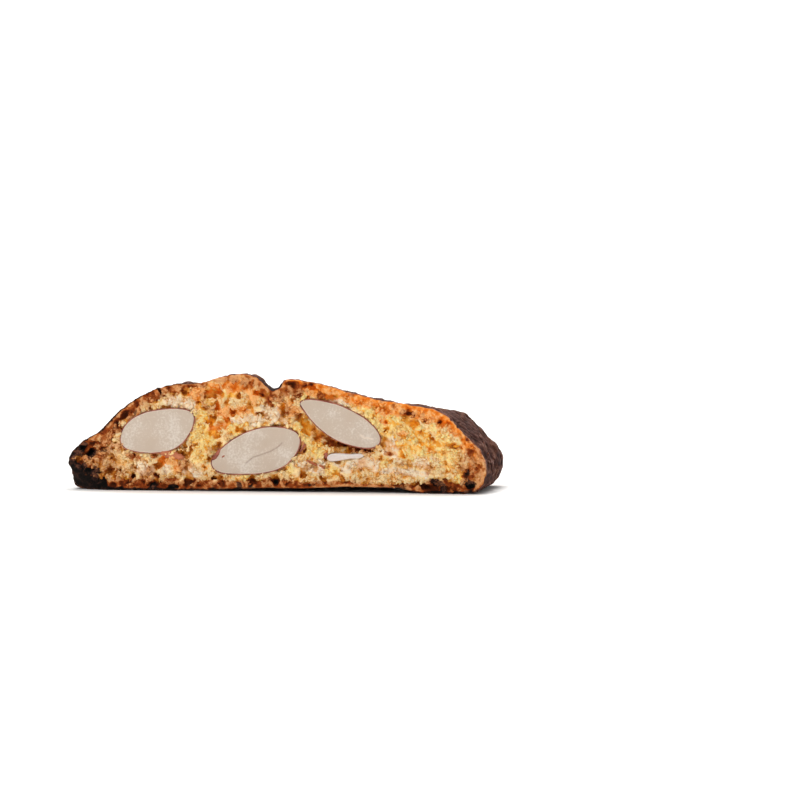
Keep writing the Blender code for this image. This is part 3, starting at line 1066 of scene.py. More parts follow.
BACK_HOLLOWS = (
    Spot(-12.0, 8.0, 2.6, 1.0, 25.0, 1.4),
    Spot(18.5, 12.5, 1.0, 2.4, 20.0, 1.3),
    Spot(36.6, 4.0, 1.0, 0.8, 0.0, 1.2),
    Spot(-36.0, 5.0, 1.6, 0.7, 10.0, 1.2),
    Spot(-4.0, 19.5, 1.4, 0.7, 0.0, 1.0),
    Spot(9.0, 3.0, 1.8, 0.6, 0.0, 1.0),
)

BACK_TONES = {
    Tone.GOLD: (Spot(-8.0, 11.0, 6.0, 5.0, 10.0, 1.0), Spot(19.0, 10.0, 5.0, 5.5, -20.0, 0.9)),
    Tone.PALE: (Spot(2.0, 5.0, 9.0, 2.6, 0.0, 1.0), Spot(-24.0, 16.6, 6.0, 1.8, 10.0, 0.8),
                Spot(20.0, 15.0, 4.0, 1.6, -20.0, 0.7)),
    Tone.ORANGE: (Spot(12.0, 20.0, 9.0, 1.6, -14.0, 0.9), Spot(-12.0, 21.0, 6.0, 1.8, 0.0, 0.9),
                  Spot(30.0, 14.6, 4.0, 1.6, -35.0, 0.9)),
    Tone.BROWN: (Spot(-38.0, 7.0, 4.0, 4.0, 40.0, 0.9), Spot(38.0, 5.0, 3.0, 5.0, 10.0, 0.9)),
    Tone.CHAR: (Spot(-30.0, 0.7, 3.0, 0.7, 0.0, 0.8), Spot(36.0, 1.2, 1.6, 1.0, 0.0, 0.9)),
}


@dataclass
class Surface:
    """The dough's vertices, and where each one lies. Distances are in millimetres."""

    points: np.ndarray
    normals: np.ndarray
    crust: np.ndarray                # 1 on the outside of the crust, 0 on a cut
    edge: np.ndarray                 # how far from the crust
    behind: np.ndarray               # how far behind the nearer cut
    low: np.ndarray                  # how high above the base
    fuzz: np.ndarray                 # noise that frays the edges of the tones

    def __post_init__(self) -> None:
        """Mark the two stretches of rim that browned in their own way."""
        x, _, z = self.points.T
        self.upper_right = smooth_step(-2.0, 3.0, x) * smooth_step(9.0, 14.0, z)
        self.left = smooth_step(-18.0, -26.0, x)


@dataclass
class Slice:
    """The slice of dough: a slab of crust-rimmed crumb, with a pocket for each almond."""

    half_thickness: float = 9.0      # from the middle to each cut, in Y
    grains: int = 5600               # on each cut
    grain: float = 0.19
    coarse: float = 0.45             # the voxels that the slab is first made of
    fine: float = 0.24               # and those that it is made of with its clumps
    most_triangles: int = 196_000
    slant: float = -28.0             # degrees, how the rows of gaps at the right fall away
    rows: tuple[float, float] = (8.0, 20.0)                       # where along the slice they set in
    rim: float = 1.1                 # how wide the firmer crumb is behind the crust
    floor_depth: float = 0.85        # how deep the crumb reaches behind the cut among its clumps
    clumps: tuple = ((1.9, 0.78), (1.2, 0.52), (0.75, 0.33))      # how far apart, and how large
    clump_shape: tuple[float, float, float] = (1.2, 0.9, 0.85)
    grain_shape: tuple[float, float, float] = (1.7, 1.0, 0.7)
    loosening: tuple = ((0.45, 1.4), (0.2, 0.65))                 # how far it moves them, and how wide
    pits: tuple = ((1.25, 0.34, 0.42), (0.8, 0.22, 0.55))         # their size, depth and share of places
    gap_depth: float = 0.45          # how much deeper the floor lies in the gaps
    unevenness: float = 0.25         # how much deeper or shallower it lies elsewhere
    coarse_grain: float = 0.1        # how far the crumb's coarse grain stands out
    fine_grain: float = 0.11         # and its fine one
    fold: float = 0.16               # how high the folds are at the crust's ends
    shrivel: float = 0.08            # and the wrinkles between them
    crust_grit: float = 0.06
    crust_swell: float = 0.2         # how far it swells and sinks over a wider reach
    shoulder_sag: float = 0.3
    crust_pit: float = 0.5           # how deep its pits are
    crust_crack: float = 0.35        # and its cracks
    arch: float = 0.45               # how high the base rises off the table at the front
    base_band: float = 1.6           # how high the base is brown all through
    base_fade: float = 3.0           # how high that browning ends
    rim_brown: float = 1.2           # how far the browning reaches in from the crust
    rim_burnt: float = 0.5           # and how far the burnt edge does
    clump_seed: int = 11
    grain_seed: int = 23
    hollows: dict = field(default_factory=lambda: {Side.FRONT: FRONT_HOLLOWS, Side.BACK: BACK_HOLLOWS})
    tones: dict = field(default_factory=lambda: {Side.FRONT: FRONT_TONES, Side.BACK: BACK_TONES})

    def build(self, almonds: list[Almond], dough: bpy.types.Material, lattice: Lattice) -> None:
        """Make the dough.

        Args:
            almonds: The almonds whose pockets it gets.
            dough: Its finish.
            lattice: The noise that its relief is made of.
        """
        self.lattice = lattice
        piece = link("dough", self._plain_slab())
        apply(piece, "REMESH", mode="VOXEL", voxel_size=self.coarse * MM)
        self._recess(piece.data)
        self._add_clumps(piece, almonds)
        apply(piece, "REMESH", mode="VOXEL", voxel_size=self.fine * MM)
        largest_body(piece.data)
        self._roughen(piece.data)
        self._cut_pockets(piece, almonds)
        count = triangles_in(piece.data)
        log.info("dough before it is thinned: %d triangles", count)
        apply(piece, "DECIMATE", ratio=min(1.0, self.most_triangles / count),
              use_collapse_triangulate=True)
        largest_body(piece.data)
        tones = self._tone(points_of(piece.data), normals_of(piece.data), relief_of(piece.data, 10),
                           relief_of(piece.data, 40))
        for name, values in tones.items():
            store(piece.data, name, values)
        piece.data.materials.clear()
        piece.data.materials.append(dough)
        settle(piece, "baked_dough", "biscuit")
        for side in Side:
            self._strew(side, piece.data, tones, almonds, dough)

    def _plain_slab(self) -> bpy.types.Mesh:
        """Close the almond pockets of the frame's biscuit and keep its outer surface.

        Returns:
            The crust between two flat cuts.
        """
        bm = bmesh.new()
        bm.from_mesh(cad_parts["biscuit"].data)
        bmesh.ops.scale(bm, vec=(1 / MM,) * 3, verts=bm.verts)
        bmesh.ops.remove_doubles(bm, verts=bm.verts, dist=0.002)
        bm.normal_update()
        # The crust is every face that joins the top one without being part of a cut.
        top = max(bm.faces, key=lambda f: f.calc_center_median().z)
        crust, fresh = {top}, [top]
        while fresh:
            found = {other for face in fresh for edge in face.edges for other in edge.link_faces}
            fresh = [f for f in found - crust if abs(f.normal.y) < 0.98]
            crust.update(fresh)
        bmesh.ops.delete(bm, geom=[f for f in bm.faces if f not in crust], context="FACES")
        bmesh.ops.recalc_face_normals(bm, faces=bm.faces)
        if top.normal.z < 0:
            bmesh.ops.reverse_faces(bm, faces=bm.faces)
        self.crust = BVHTree.FromBMesh(bm)
        bmesh.ops.holes_fill(bm, edges=[e for e in bm.edges if e.is_boundary])
        bmesh.ops.triangulate(bm, faces=bm.faces)
        return mesh_of("dough", bm)

    def _from_crust(self, places: np.ndarray) -> np.ndarray:
        """How far each place lies from the crust's own surface."""
        return np.array([self.crust.find_nearest(place)[3] for place in places])

    def _facing_crust(self, places: np.ndarray, normals: np.ndarray) -> np.ndarray:
        """1 where a surface looks the same way out as the crust nearest to it, 0 where it does not."""
        outward = np.array([self.crust.find_nearest(place)[1] for place in places])
        return smooth_step(0.1, 0.5, (outward * normals).sum(axis=1))

    @staticmethod
    def _flat(places: np.ndarray, side: Side) -> np.ndarray:
        """The places without their depth, and apart for the two cuts, so that their noise differs."""
        return places * (1.0, 0.0, 1.0) + (0.0, 40.0 * side.value, 0.0)

    def _hollow(self, places: np.ndarray, side: Side) -> np.ndarray:
        """How much deeper than usual the crumb's floor lies at each place of a cut."""
        fuzz = self.lattice.waves(self._flat(places, side), 1.3)
        return sum(spot.share(places, fuzz) for spot in self.hollows[side])

    def _rolled(self, places: np.ndarray) -> np.ndarray:
        """0 to the left, and 1 to the right, where rolling the log laid its gaps in slanting rows."""
        return smooth_step(*self.rows, places[:, 0])

    def _drawn(self, places: np.ndarray) -> np.ndarray:
        """Places to read noise at, so that its shapes are drawn out as rolling drew out the gaps."""
        along, across = turned(places[:, 0], places[:, 2], -self.slant)
        return np.stack([along / (1.2 + 0.9 * self._rolled(places)), places[:, 1], across], axis=1)

    def _openness(self, places: np.ndarray, side: Side) -> np.ndarray:
        """Work out how open the crumb is.

        Args:
            places: Places on a cut.
            side: The cut.

        Returns:
            0 among the clumps, up to 1 in the gaps between them.
        """
        drawn = self._flat(self._drawn(places), side)
        noise = self.lattice.waves(drawn, 2.9) + 0.35 * self.lattice.waves(drawn, 1.3)
        return smooth_step(-0.05, 0.4, noise)

    def _depth(self, places: np.ndarray, side: Side) -> np.ndarray:
        """Work out how deep the crumb's floor lies behind a cut, before its clumps are put on.

        Args:
            places: Places on the cut.
            side: The cut.

        Returns:
            The depth at each place.
        """
        waves, flat = self.lattice.waves, self._flat(places, side)
        depth = self.floor_depth + self.gap_depth * self._openness(places, side)
        depth = depth + self.unevenness * waves(flat, 1.7)
        calm = np.maximum.reduce([self._share(places, side, tone)
                                  for tone in (Tone.GOLD, Tone.PALE, Tone.ORANGE)])
        depth *= 1 - 0.35 * calm
        rim = self.rim * (1.5 + 0.8 * waves(flat, 5.0))
        depth = np.clip(depth, 0.15, None) * smooth_step(0.1, 1.0, self._from_crust(places) / rim)
        return depth + self._hollow(places, side)

    def _share(self, places: np.ndarray, side: Side, tone: Tone) -> np.ndarray:
        """Work out how much of a tone the spots of one cut lay on places.

        Args:
            places: The places.
            side: The cut.
            tone: The tone.

        Returns:
            One share for each place.
        """
        fuzz = self.lattice.waves(places, 1.6)
        laid = np.maximum.reduce([spot.share(places, fuzz) for spot in self.tones[side][tone]])
        return np.clip(laid, 0, 1)

    def _recess(self, mesh: bpy.types.Mesh) -> None:
        """Sink both cut faces to the floor of the crumb.

        Args:
            mesh: The slab.
        """
        points, normals = points_of(mesh), normals_of(mesh)
        for side in Side:
            behind = self.half_thickness - side.value * points[:, 1]
            at_cut = np.flatnonzero((behind < 0.5) & (side.value * normals[:, 1] > 0.5))
            points[at_cut, 1] -= side.value * self._depth(points[at_cut], side)
        move_points(mesh, points)

    def _add_clumps(self, piece: bpy.types.Object, almonds: list[Almond]) -> None:
        """Cover both cut faces with clumps of crumb, joined to the slab.

        Args:
            piece: The slab.
            almonds: The almonds, which stay bare.
        """
        ball, faces = ball_of(2)
        draw = np.random.default_rng(self.clump_seed)
        piece.data.calc_loop_triangles()
        slab = np.empty(len(piece.data.loop_triangles) * 3, np.int32)
        piece.data.loop_triangles.foreach_get("vertices", slab)
        every_point, every_face = [points_of(piece.data)], [slab.reshape(-1, 3)]
        count = len(every_point[0])
        for side in Side:
            for spacing, radius in self.clumps:
                places = self._clump_places(side, spacing, radius, draw, almonds)
                every_point.append(self._clumps(ball, places, radius, side, draw))
                every_face.append(copies_of(faces, len(ball), len(places), count))
                count += len(every_point[-1])
        points = np.concatenate(every_point)
        # The clumps are bent out of round, but the firm crust keeps the line that the knife gave it.
        loose = np.maximum(smooth_step(0.1, 1.2, self._from_crust(points)),
                           0.8 * smooth_step(0.6, 2.0, self.half_thickness - np.abs(points[:, 1])))
        for reach, size in self.loosening:
            shift = np.stack([self.lattice.waves(points + 60.0 * k, size) for k in range(3)], axis=1)
            points += reach * loose[:, None] * shift
        self._keep_within(points[len(every_point[0]):])
        made = mesh_from("dough", points, np.concatenate(every_face))
        old, piece.data = piece.data, made
        bpy.data.meshes.remove(old)

    def _clump_places(self, side: Side, spacing: float, radius: float, draw: np.random.Generator,
                      almonds: list[Almond]) -> np.ndarray:
        """Places for one size of clump, spread over a cut face at the face's own plane.

        Args:
            side: The cut.
            spacing: How far apart the clumps are.
            radius: Their size.
            draw: The source of random numbers.
            almonds: The almonds, which stay bare.

        Returns:
            The places.
        """
        low, high = (np.array(corner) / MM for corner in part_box("biscuit"))
        # In staggered rows, and then moved at random.
        row = spacing * 0.87
        xs, zs = np.arange(low[0], high[0], spacing), np.arange(low[2], high[2], row)
        x, z = (grid.ravel() for grid in np.meshgrid(xs, zs))
        x = x + 0.5 * spacing * (np.round((z - low[2]) / row) % 2)
        places = np.stack([x, np.full(len(x), side.value * self.half_thickness), z], axis=1)
        places += draw.uniform(-0.5, 0.5, size=places.shape) * (spacing, 0.0, spacing)
        # They stay clear of the crust, of the gaps and hollows, and of the almonds.
        keep = self._inside(places, side)
        edge = self._from_crust(places)
        keep &= edge > 0.1 + radius * draw.uniform(0.4, 2.4, size=len(places))
        keep &= draw.uniform(size=len(places)) > 0.9 * self._openness(places, side)
        keep &= self._hollow(places, side) < 0.45
        for almond in almonds:
            if almond.side is side:
                keep &= almond.clearance(places) > -0.1
        return places[keep]

    def _inside(self, places: np.ndarray, side: Side) -> np.ndarray:
        """Find which places of a cut face lie within the crust's outline.

        Args:
            places: The places.
            side: The cut.

        Returns:
            True for each place within it.
        """
        inside = np.zeros(len(places), bool)
        up, step, above = Vector((0, 0, 1)), Vector((0, 0, 1e-3)), 60.0
        for i, place in enumerate(places):
            start = Vector((place[0], side.value * (self.half_thickness - 0.05), place[2]))
            near, normal, _, _ = self.crust.find_nearest(start)
            crossings, hit = 0, self.crust.ray_cast(start, up, above)[0]
            while hit is not None:
                crossings, hit = crossings + 1, self.crust.ray_cast(hit + step, up, above)[0]
            inside[i] = crossings % 2 == 1 and (start - near).dot(normal) < 0
        return inside

    def _keep_within(self, points: np.ndarray) -> None:
        """Pull the clumps' points that stick out of the crust back behind it, in place.

        Args:
            points: The points.
        """
        margin = 0.12
        for i, place in enumerate(points):
            near, normal, _, _ = self.crust.find_nearest(place)
            beyond = (Vector(place) - near).dot(normal) + margin
            if beyond > 0:
                points[i] -= beyond * np.array(normal)

    def _clumps(self, ball: np.ndarray, places: np.ndarray, radius: float, side: Side,
                draw: np.random.Generator) -> np.ndarray:
        """The vertices of one size of clump.

        Args:
            ball: The vertices of a round clump.
            places: Where the clumps go, on the plane of the cut.
            radius: Their mean size.
            side: The cut.
            draw: The source of random numbers.

        Returns:
            All clumps' vertices, in the places' order.
        """
        count = len(places)
        size = radius * np.exp(0.3 * draw.normal(size=(count, 1, 1)))
        rolled = self._rolled(places)
        stretch = np.exp(0.25 * draw.normal(size=(count, 1, 3))) * self.clump_shape
        stretch[..., 0] *= (1 + 0.4 * rolled)[:, None]
        turn = np.radians(self.slant + (60 - 42 * rolled) * draw.normal(size=count))
        clump = ball[None] * size * stretch
        x = clump[..., 0] * np.cos(turn)[:, None] - clump[..., 2] * np.sin(turn)[:, None]
        z = clump[..., 0] * np.sin(turn)[:, None] + clump[..., 2] * np.cos(turn)[:, None]
        behind = self._depth(places, side)
        share = draw.uniform(0.0, 1.0, size=count) ** 1.5
        level = 0.7 * size[:, 0, 0] + share * np.maximum(behind - 0.3, 0.0)
        y = clump[..., 1] + (places[:, 1] - side.value * level)[:, None]
        # The knife sliced off what stood furthest out.
        knife = self.half_thickness - draw.uniform(-0.08, 0.3, size=(count, 1))
        y = np.where(side.value * y > knife, side.value * knife, y)
        return np.stack([x + places[:, :1], y, z + places[:, 2:]], axis=2).reshape(-1, 3)

    def _roughen(self, mesh: bpy.types.Mesh) -> None:
        """Give the crust its wrinkles, pits and cracks, and the crumb a fine roughness.

        Args:
            mesh: The dough.
        """
        points, normals = points_of(mesh), normals_of(mesh)
        crust = self._crustiness(points, normals)
        edge = self._from_crust(points)
        within = smooth_step(0.15, 0.6, edge) * smooth_step(7.5, 8.0, np.abs(points[:, 1]) + 0.9)
        points += (softened(mesh, 2) - points) * (within * (1 - crust))[:, None]
        skin = np.flatnonzero(crust > 0.01)
        above_foot = smooth_step(0.0, 1.0, points[skin, 2])
        wrinkles = self._wrinkles(points[skin]) * crust[skin] * above_foot
        points[skin] += normals[skin] * wrinkles[:, None]
        fine = self._fine_relief(points, crust, edge, within)
        points += normals * (fine * smooth_step(0.0, 0.4, points[:, 2]))[:, None]
        points[:, 2] = np.maximum(points[:, 2] + self._rise(points), 0.0)
        move_points(mesh, points)

    def _wrinkles(self, here: np.ndarray) -> np.ndarray:
        """Work out the crust's relief: folds at its ends, and a few pits and cracks.

        Args:
            here: Points on the crust.

        Returns:
            How far each point stands out.
        """
        waves, rough, cells = self.lattice.waves, self.lattice.rough, self.lattice.cells
        x, _, z = here.T
        ends = smooth_step(34.0, 40.0, np.abs(x))
        bent = here + 0.6 * waves(here, 2.6)[:, None]
        # Folds run across the ends, the crust between them is shrivelled, and all of it is rough.
        folds = 0.6 - 2 * np.abs(waves(bent * (0.28, 1.0, 0.28), 1.15))
        wrinkles = 0.6 - 2 * np.abs(rough(bent, 3.2, 3))
        relief = self.fold * ends * folds + self.shrivel * (1 - ends) * wrinkles
        relief += self.crust_grit * rough(here, 0.9, 2)
        relief += (self.crust_swell + 0.15 * ends) * (waves(here, 4.6) - 0.3 * (1 - ends))
        # The shoulder at the left sags.
        shoulder = smooth_step(-34.0, -28.0, x) * smooth_step(-12.0, -18.0, x)
        relief -= self.shoulder_sag * shoulder * smooth_step(10.0, 15.0, z)
        # A few of the cells are pits, and cracks run between some of the larger ones.
        first, _, mark = cells(here, 2.4)
        relief -= self.crust_pit * smooth_step(0.4, 0.12, first) * (mark < 0.18)
        first, second, _ = cells(here + 0.5 * waves(here, 2.0)[:, None], 5.5)
        some = smooth_step(0.0, 0.4, waves(here, 9.0))
        relief -= self.crust_crack * smooth_step(0.07, 0.0, second - first) * some
        return relief

    def _fine_relief(self, points: np.ndarray, crust: np.ndarray, edge: np.ndarray,
                     within: np.ndarray) -> np.ndarray:
        """How far the crumb's grain and its burst bubbles lift or sink each vertex.

        Args:
            points: The vertices.
            crust: How much each belongs to the crust.
            edge: How far each lies from the crust.
            within: How free each is to move.

        Returns:
            One distance for each vertex.
        """
        waves = self.lattice.waves
        fine = self.fine_grain * waves(points, 0.55) + self.coarse_grain * waves(points + 9.0, 1.1)
        fine *= 1 - 0.7 * crust
        fine *= 0.4 + 0.6 * smooth_step(0.2, 0.8, edge)
        # Little bubbles burst at the cut, and left pits with thin walls between them.
        drawn = self._drawn(points + 0.3 * waves(points, 0.8)[:, None])
        calm = np.where(points[:, 1] < 0, self._share(points, Side.FRONT, Tone.PALE),
                        self._share(points, Side.BACK, Tone.PALE))
        patchy = 0.45 + 0.55 * smooth_step(-0.3, 0.25, waves(drawn, 3.6))
        within = within * (smooth_step(0.6, 2.0, edge) * patchy)
        for size, depth, share in self.pits:
            first, _, mark = self.lattice.cells(drawn + size, size)
            fine -= depth * smooth_step(0.5, 0.1, first) * (mark < share) * within * (1 - 0.45 * calm)
        return fine

    def _rise(self, points: np.ndarray) -> np.ndarray:
        """Work out how the base rises off the table at the front, to the right of its middle.

        Args:
            points: The points.

        Returns:
            How far each point rises.
        """
        x, y, z = points.T
        along = smooth_step(4.0, 14.0, x) * smooth_step(30.0, 24.0, x)
        return self.arch * along * smooth_step(-3.0, -7.0, y) * smooth_step(4.0, 0.0, z)

    def _crustiness(self, points: np.ndarray, normals: np.ndarray) -> np.ndarray:
        """Tell the outside of the crust from the cuts.

        Args:
            points: The points.
            normals: Their outward directions.

        Returns:
            1 on the crust, 0 on a cut face, and between the two at the edge.
        """
        behind = self.half_thickness - np.abs(points[:, 1])
        near = smooth_step(1.3, 0.7, self._from_crust(points))
        return smooth_step(0.05, 0.6, behind) * near * self._facing_crust(points, normals)

    def _cut_pockets(self, piece: bpy.types.Object, almonds: list[Almond]) -> None:
        """Cut each almond's pocket, and everything in front of its face, from the dough.

        Args:
            piece: The dough.
            almonds: The almonds.
        """
        for almond in almonds:
            bm = almond.shape(almond.skin, None)
            # The cutter reaches past the cut, so that nothing stays in front of the almond.
            for vert in bm.verts:
                if almond.side.value * (vert.co.y - almond.face) > 1e-4:
                    vert.co.y = almond.face + almond.side.value * 2.0
            cutter = link(almond.name + "_cutter", mesh_of(almond.name + "_cutter", bm))
            apply(piece, "BOOLEAN", operation="DIFFERENCE", solver="MANIFOLD", object=cutter)
            bpy.data.objects.remove(cutter)

    def _tone(self, points: np.ndarray, normals: np.ndarray, relief: np.ndarray,
              swell: np.ndarray) -> dict[str, np.ndarray]:
        """Work out where the dough is pale, golden, browned or burnt, and where shade and light are
        painted, for its material to read.

        Args:
            points: The dough's vertices.
            normals: Their outward directions.
            relief: How far each stands proud of those around it, in millimetres.
            swell: The same, over a wider reach.

        Returns:
            The value of each vertex attribute, by its name.
        """
        x, _, z = points.T
        at = Surface(
            points, normals, crust=self._crustiness(points, normals), edge=self._from_crust(points),
            behind=self.half_thickness - np.abs(points[:, 1]), low=z - self._rise(points),
            fuzz=self.lattice.waves(points, 1.6) + 0.6 * self.lattice.waves(points, 0.7))
        amount = self._amounts(at)
        found = {tone.value: amount[tone] for tone in Tone}
        found["height"] = self._height(at, amount, relief, swell)
        found["crust"] = at.crust
        # The crust is darker at both ends of the slice and under it, partly toasted more there and
        # partly painted shade.
        ends = np.maximum(smooth_step(30, 38, x), smooth_step(-30, -38, x))
        under = np.maximum(smooth_step(-0.3, -0.8, normals[:, 2]), smooth_step(1.6, 0.6, at.low))
        found["toast_and_shade"] = 0.72 + 0.5 * self.lattice.rough(points, 9.0, 3) + 0.35 * ends + 0.5 * under
        # A painted highlight runs as a thin light line along the crust's own edge at a cut.
        fresh = smooth_step(0.9, 0.35, at.behind) * smooth_step(0.5, 0.1, at.edge)
        fresh = fresh * (0.5 + 0.6 * at.fuzz)
        found["fresh"] = fresh * (smooth_step(5.0, 9.0, x) * smooth_step(2.0, 4.0, z))
        return {name: np.clip(values, 0, 1) for name, values in found.items()}

    def _amounts(self, at: Surface) -> dict[Tone, np.ndarray]:
        """Lay the tones on the dough.

        Args:
            at: Its vertices.

        Returns:
            How much of each tone every vertex has.
        """
        waves, points = self.lattice.waves, at.points
        x, y, _ = points.T
        amount = {tone: np.zeros(len(points)) for tone in Tone}
        for side in Side:
            mine = smooth_step(0.5, 5.5, y * side.value + 2.0 * at.fuzz)
            for tone, spots in self.tones[side].items():
                for spot in spots:
                    amount[tone] = np.maximum(amount[tone], spot.share(points, at.fuzz) * mine)
        # Golden and brown patches drift through the whole crumb.
        drift = waves(points * (1.0, 0.3, 1.0) + 31.0, 4.2)
        # It browned from outside: an orange rim at the top right, and brown elsewhere, most at the left.
        rim = np.exp(-(at.edge / self.rim_brown) ** 2) * (1 + 0.5 * at.fuzz)
        blotch = smooth_step(0.1, 0.45, waves(points, 2.4))
        baked = rim * (1.0 + 0.5 * at.left - 0.85 * at.upper_right * (1 - blotch)) + 0.2 * at.fuzz
        # The base is a brown band, which is thinner to the right of the middle.
        thinner = 1 - 0.3 * smooth_step(13.0, 18.0, x) * smooth_step(31.0, 28.5, x)
        base = 1.5 * smooth_step(self.base_fade, self.base_band, at.low / thinner + 0.7 * at.fuzz)
        left_end = 0.6 * smooth_step(-29.0, -36.0, x + 3.0 * at.fuzz)
        # It burnt in spots low down. Along the foot it is near-black, partly burnt and partly painted
        # contact shadow, and the left end's edge is near-black.
        low_spots = smooth_step(0.1, 0.4, waves(points, 2.6)) * smooth_step(1.5, 0.5, at.low)
        foot_burn_and_shadow = smooth_step(0.9, 0.3, at.low + 0.25 * at.fuzz) * (1 - at.crust)
        left_rim = smooth_step(-14.0, -20.0, x) * smooth_step(1.8, 0.4, at.behind + 0.7 * at.fuzz)
        for tone, laid in (
                (Tone.GOLD, 0.8 * smooth_step(0.1, 0.6, drift)),
                (Tone.ORANGE, 1.2 * rim * at.upper_right),
                (Tone.BROWN, 0.6 * smooth_step(-0.25, -0.7, drift)),
                (Tone.BROWN, baked), (Tone.BROWN, base), (Tone.BROWN, left_end),
                (Tone.CHAR, 0.9 * low_spots), (Tone.CHAR, foot_burn_and_shadow),
                (Tone.CHAR, 1.3 * np.exp(-(at.edge / self.rim_burnt) ** 2) * left_rim)):
            amount[tone] = np.maximum(amount[tone], laid)
        return amount

    def _height(self, at: Surface, amount: dict[Tone, np.ndarray], relief: np.ndarray,
                swell: np.ndarray) -> np.ndarray:
        """How light the material is to draw each vertex, with painted shade and light: 0 as the bottom
        of a gap, 1 as a grain's top.

        Args:
            at: The vertices.
            amount: How much of each tone is laid on them.
            relief: How far each stands proud of those around it, in millimetres.
            swell: The same, over a wider reach.

        Returns:
            The height of each.
        """
        rough, brown = self.lattice.rough, amount[Tone.BROWN]
        arris = np.exp(-(at.edge / 0.45) ** 2) * smooth_step(1.5, 0.5, at.behind)
        # The browner the crumb, the firmer it is, and the less its relief shows.
        soft = np.clip(amount[Tone.GOLD] + amount[Tone.ORANGE] + 0.8 * amount[Tone.PALE], 0, 1)
        soft *= 1 - np.clip(brown, 0, 1)
        # The crumb is darker where it is browned, at the cut's edge, and deep in its gaps, where it is
        # partly browned and partly painted shade.
        height = 0.92 + 0.04 * soft - 0.12 * np.clip(brown, 0, 1) - 0.2 * np.clip(brown - 1, 0, 1)
        height -= (0.14 * arris
                   + (0.1 + 0.2 * at.upper_right + 0.12 * at.left) * np.exp(-(at.edge / 1.7) ** 2))
        height += 0.55 * rough(at.points, 0.8, 2) * np.exp(-(at.edge / 1.4) ** 2)
        height += (0.6 * rough(at.points + 7.0, 0.9, 2) - 0.15) * smooth_step(2.0, 0.6, at.low)
        # Painted shade in its hollows, and painted light on what stands proud of them.
        height += (1.05 * relief + 0.75 * swell) * (1 - 0.6 * arris) * (1 - 0.45 * soft)
        height -= 0.1 * np.clip(at.behind - 0.3, 0, 2.5) * (1 - 0.5 * soft)
        # Painted shade where it turns away from the cut or faces down.
        height -= self._averted_shade(at.points, at.normals)
        # On the crust, painted light lightens what stands proud and painted shade darkens its pits and
        # the inside of the crack along the top.
        crack_shade = np.exp(-((at.points[:, 0] + 2.0) / 2.6) ** 2)
        return height * (1 - at.crust) + (0.5 - 0.35 * crack_shade + 1.3 * relief) * at.crust

    @staticmethod
    def _averted_shade(points: np.ndarray, normals: np.ndarray) -> np.ndarray:
        """How much painted shade, as a deeper colour, the crumb gets where it turns away from the cut,
        or faces down.
        """
        facing = normals[:, 1] * np.sign(points[:, 1])
        return 0.45 * np.clip(0.8 - facing, 0, 1) + 0.1 * np.clip(-normals[:, 2], 0, 1)

    def _strew(self, side: Side, dough: bpy.types.Mesh, tones: dict[str, np.ndarray],
               almonds: list[Almond], finish: bpy.types.Material) -> None:
        """Set fine dry grains on the clumps of one cut face, as one joined mesh.

        Args:
            side: The cut.
            dough: The finished dough.
            tones: Its vertex attributes.
            almonds: The almonds, which stay bare.
            finish: The dough's material.
        """
        draw = np.random.default_rng(self.grain_seed + side.value)
        points, normals = points_of(dough), normals_of(dough)
        behind = self.half_thickness - side.value * points[:, 1]
        room = (behind < 4.0) & (tones["crust"] < 0.3) & (side.value * normals[:, 1] > -0.2)
        for almond in almonds:
            if almond.side is side:
                room &= (almond.clearance(points) > 0.3) | (behind > 1.0)
        # More of them on the tops of clumps, and fewer in the gaps and near the crust.
        weight = room * (0.06 + smooth_step(0.35, 0.75, tones["height"]))
        weight *= 1 - 0.8 * self._openness(points, side)
        weight *= smooth_step(0.5, 1.4, self._from_crust(points))
        chosen = draw.choice(len(points), size=self.grains, replace=True, p=weight / weight.sum())
        # Each grain is a small ball with its corners pulled in and out, stretched and turned.
        ball, faces = ball_of(1)
        size = np.clip(self.grain * np.exp(0.45 * draw.normal(size=self.grains)), 0.09, 0.5)
        grain = ball[None] * draw.uniform(0.45, 1.45, size=(self.grains, len(ball), 1))
        grain = grain * self.grain_shape * size[:, None, None]
        turns = np.array([Quaternion(spin).normalized().to_matrix()
                          for spin in draw.normal(size=(self.grains, 4))])
        grain = np.einsum("nij,nkj->nki", turns, grain)
        outward = (grain / np.linalg.norm(grain, axis=2, keepdims=True)).reshape(-1, 3)
        jitter = draw.uniform(-0.12, 0.12, size=(self.grains, 3))
        places = points[chosen] + normals[chosen] * (0.1 * size[:, None]) + jitter
        every = (grain + places[:, None, :]).reshape(-1, 3)
        lift = draw.uniform(-0.02, 0.22, size=self.grains)
        name = "crumb_grains_" + side.name.lower()
        mesh = mesh_from(name, every, copies_of(faces, len(ball), self.grains))
        # A grain takes its tones from the dough under it, and is a little lighter, as painted light on
        # what stands out, with painted shade where it turns away or faces down.
        own = {key: np.repeat(values[chosen], len(ball)) for key, values in tones.items()}
        own["height"] = np.repeat(tones["height"][chosen] + lift, len(ball))
        own["height"] -= self._averted_shade(every, outward)
        own["crust"] = np.zeros(len(every))
        for key, values in own.items():
            store(mesh, key, np.clip(values, 0, 1))
        piece = link(name, mesh)
        piece.data.materials.append(finish)
        settle(piece, "baked_dough")


# --- studio ----------------------------------------------------------------------------


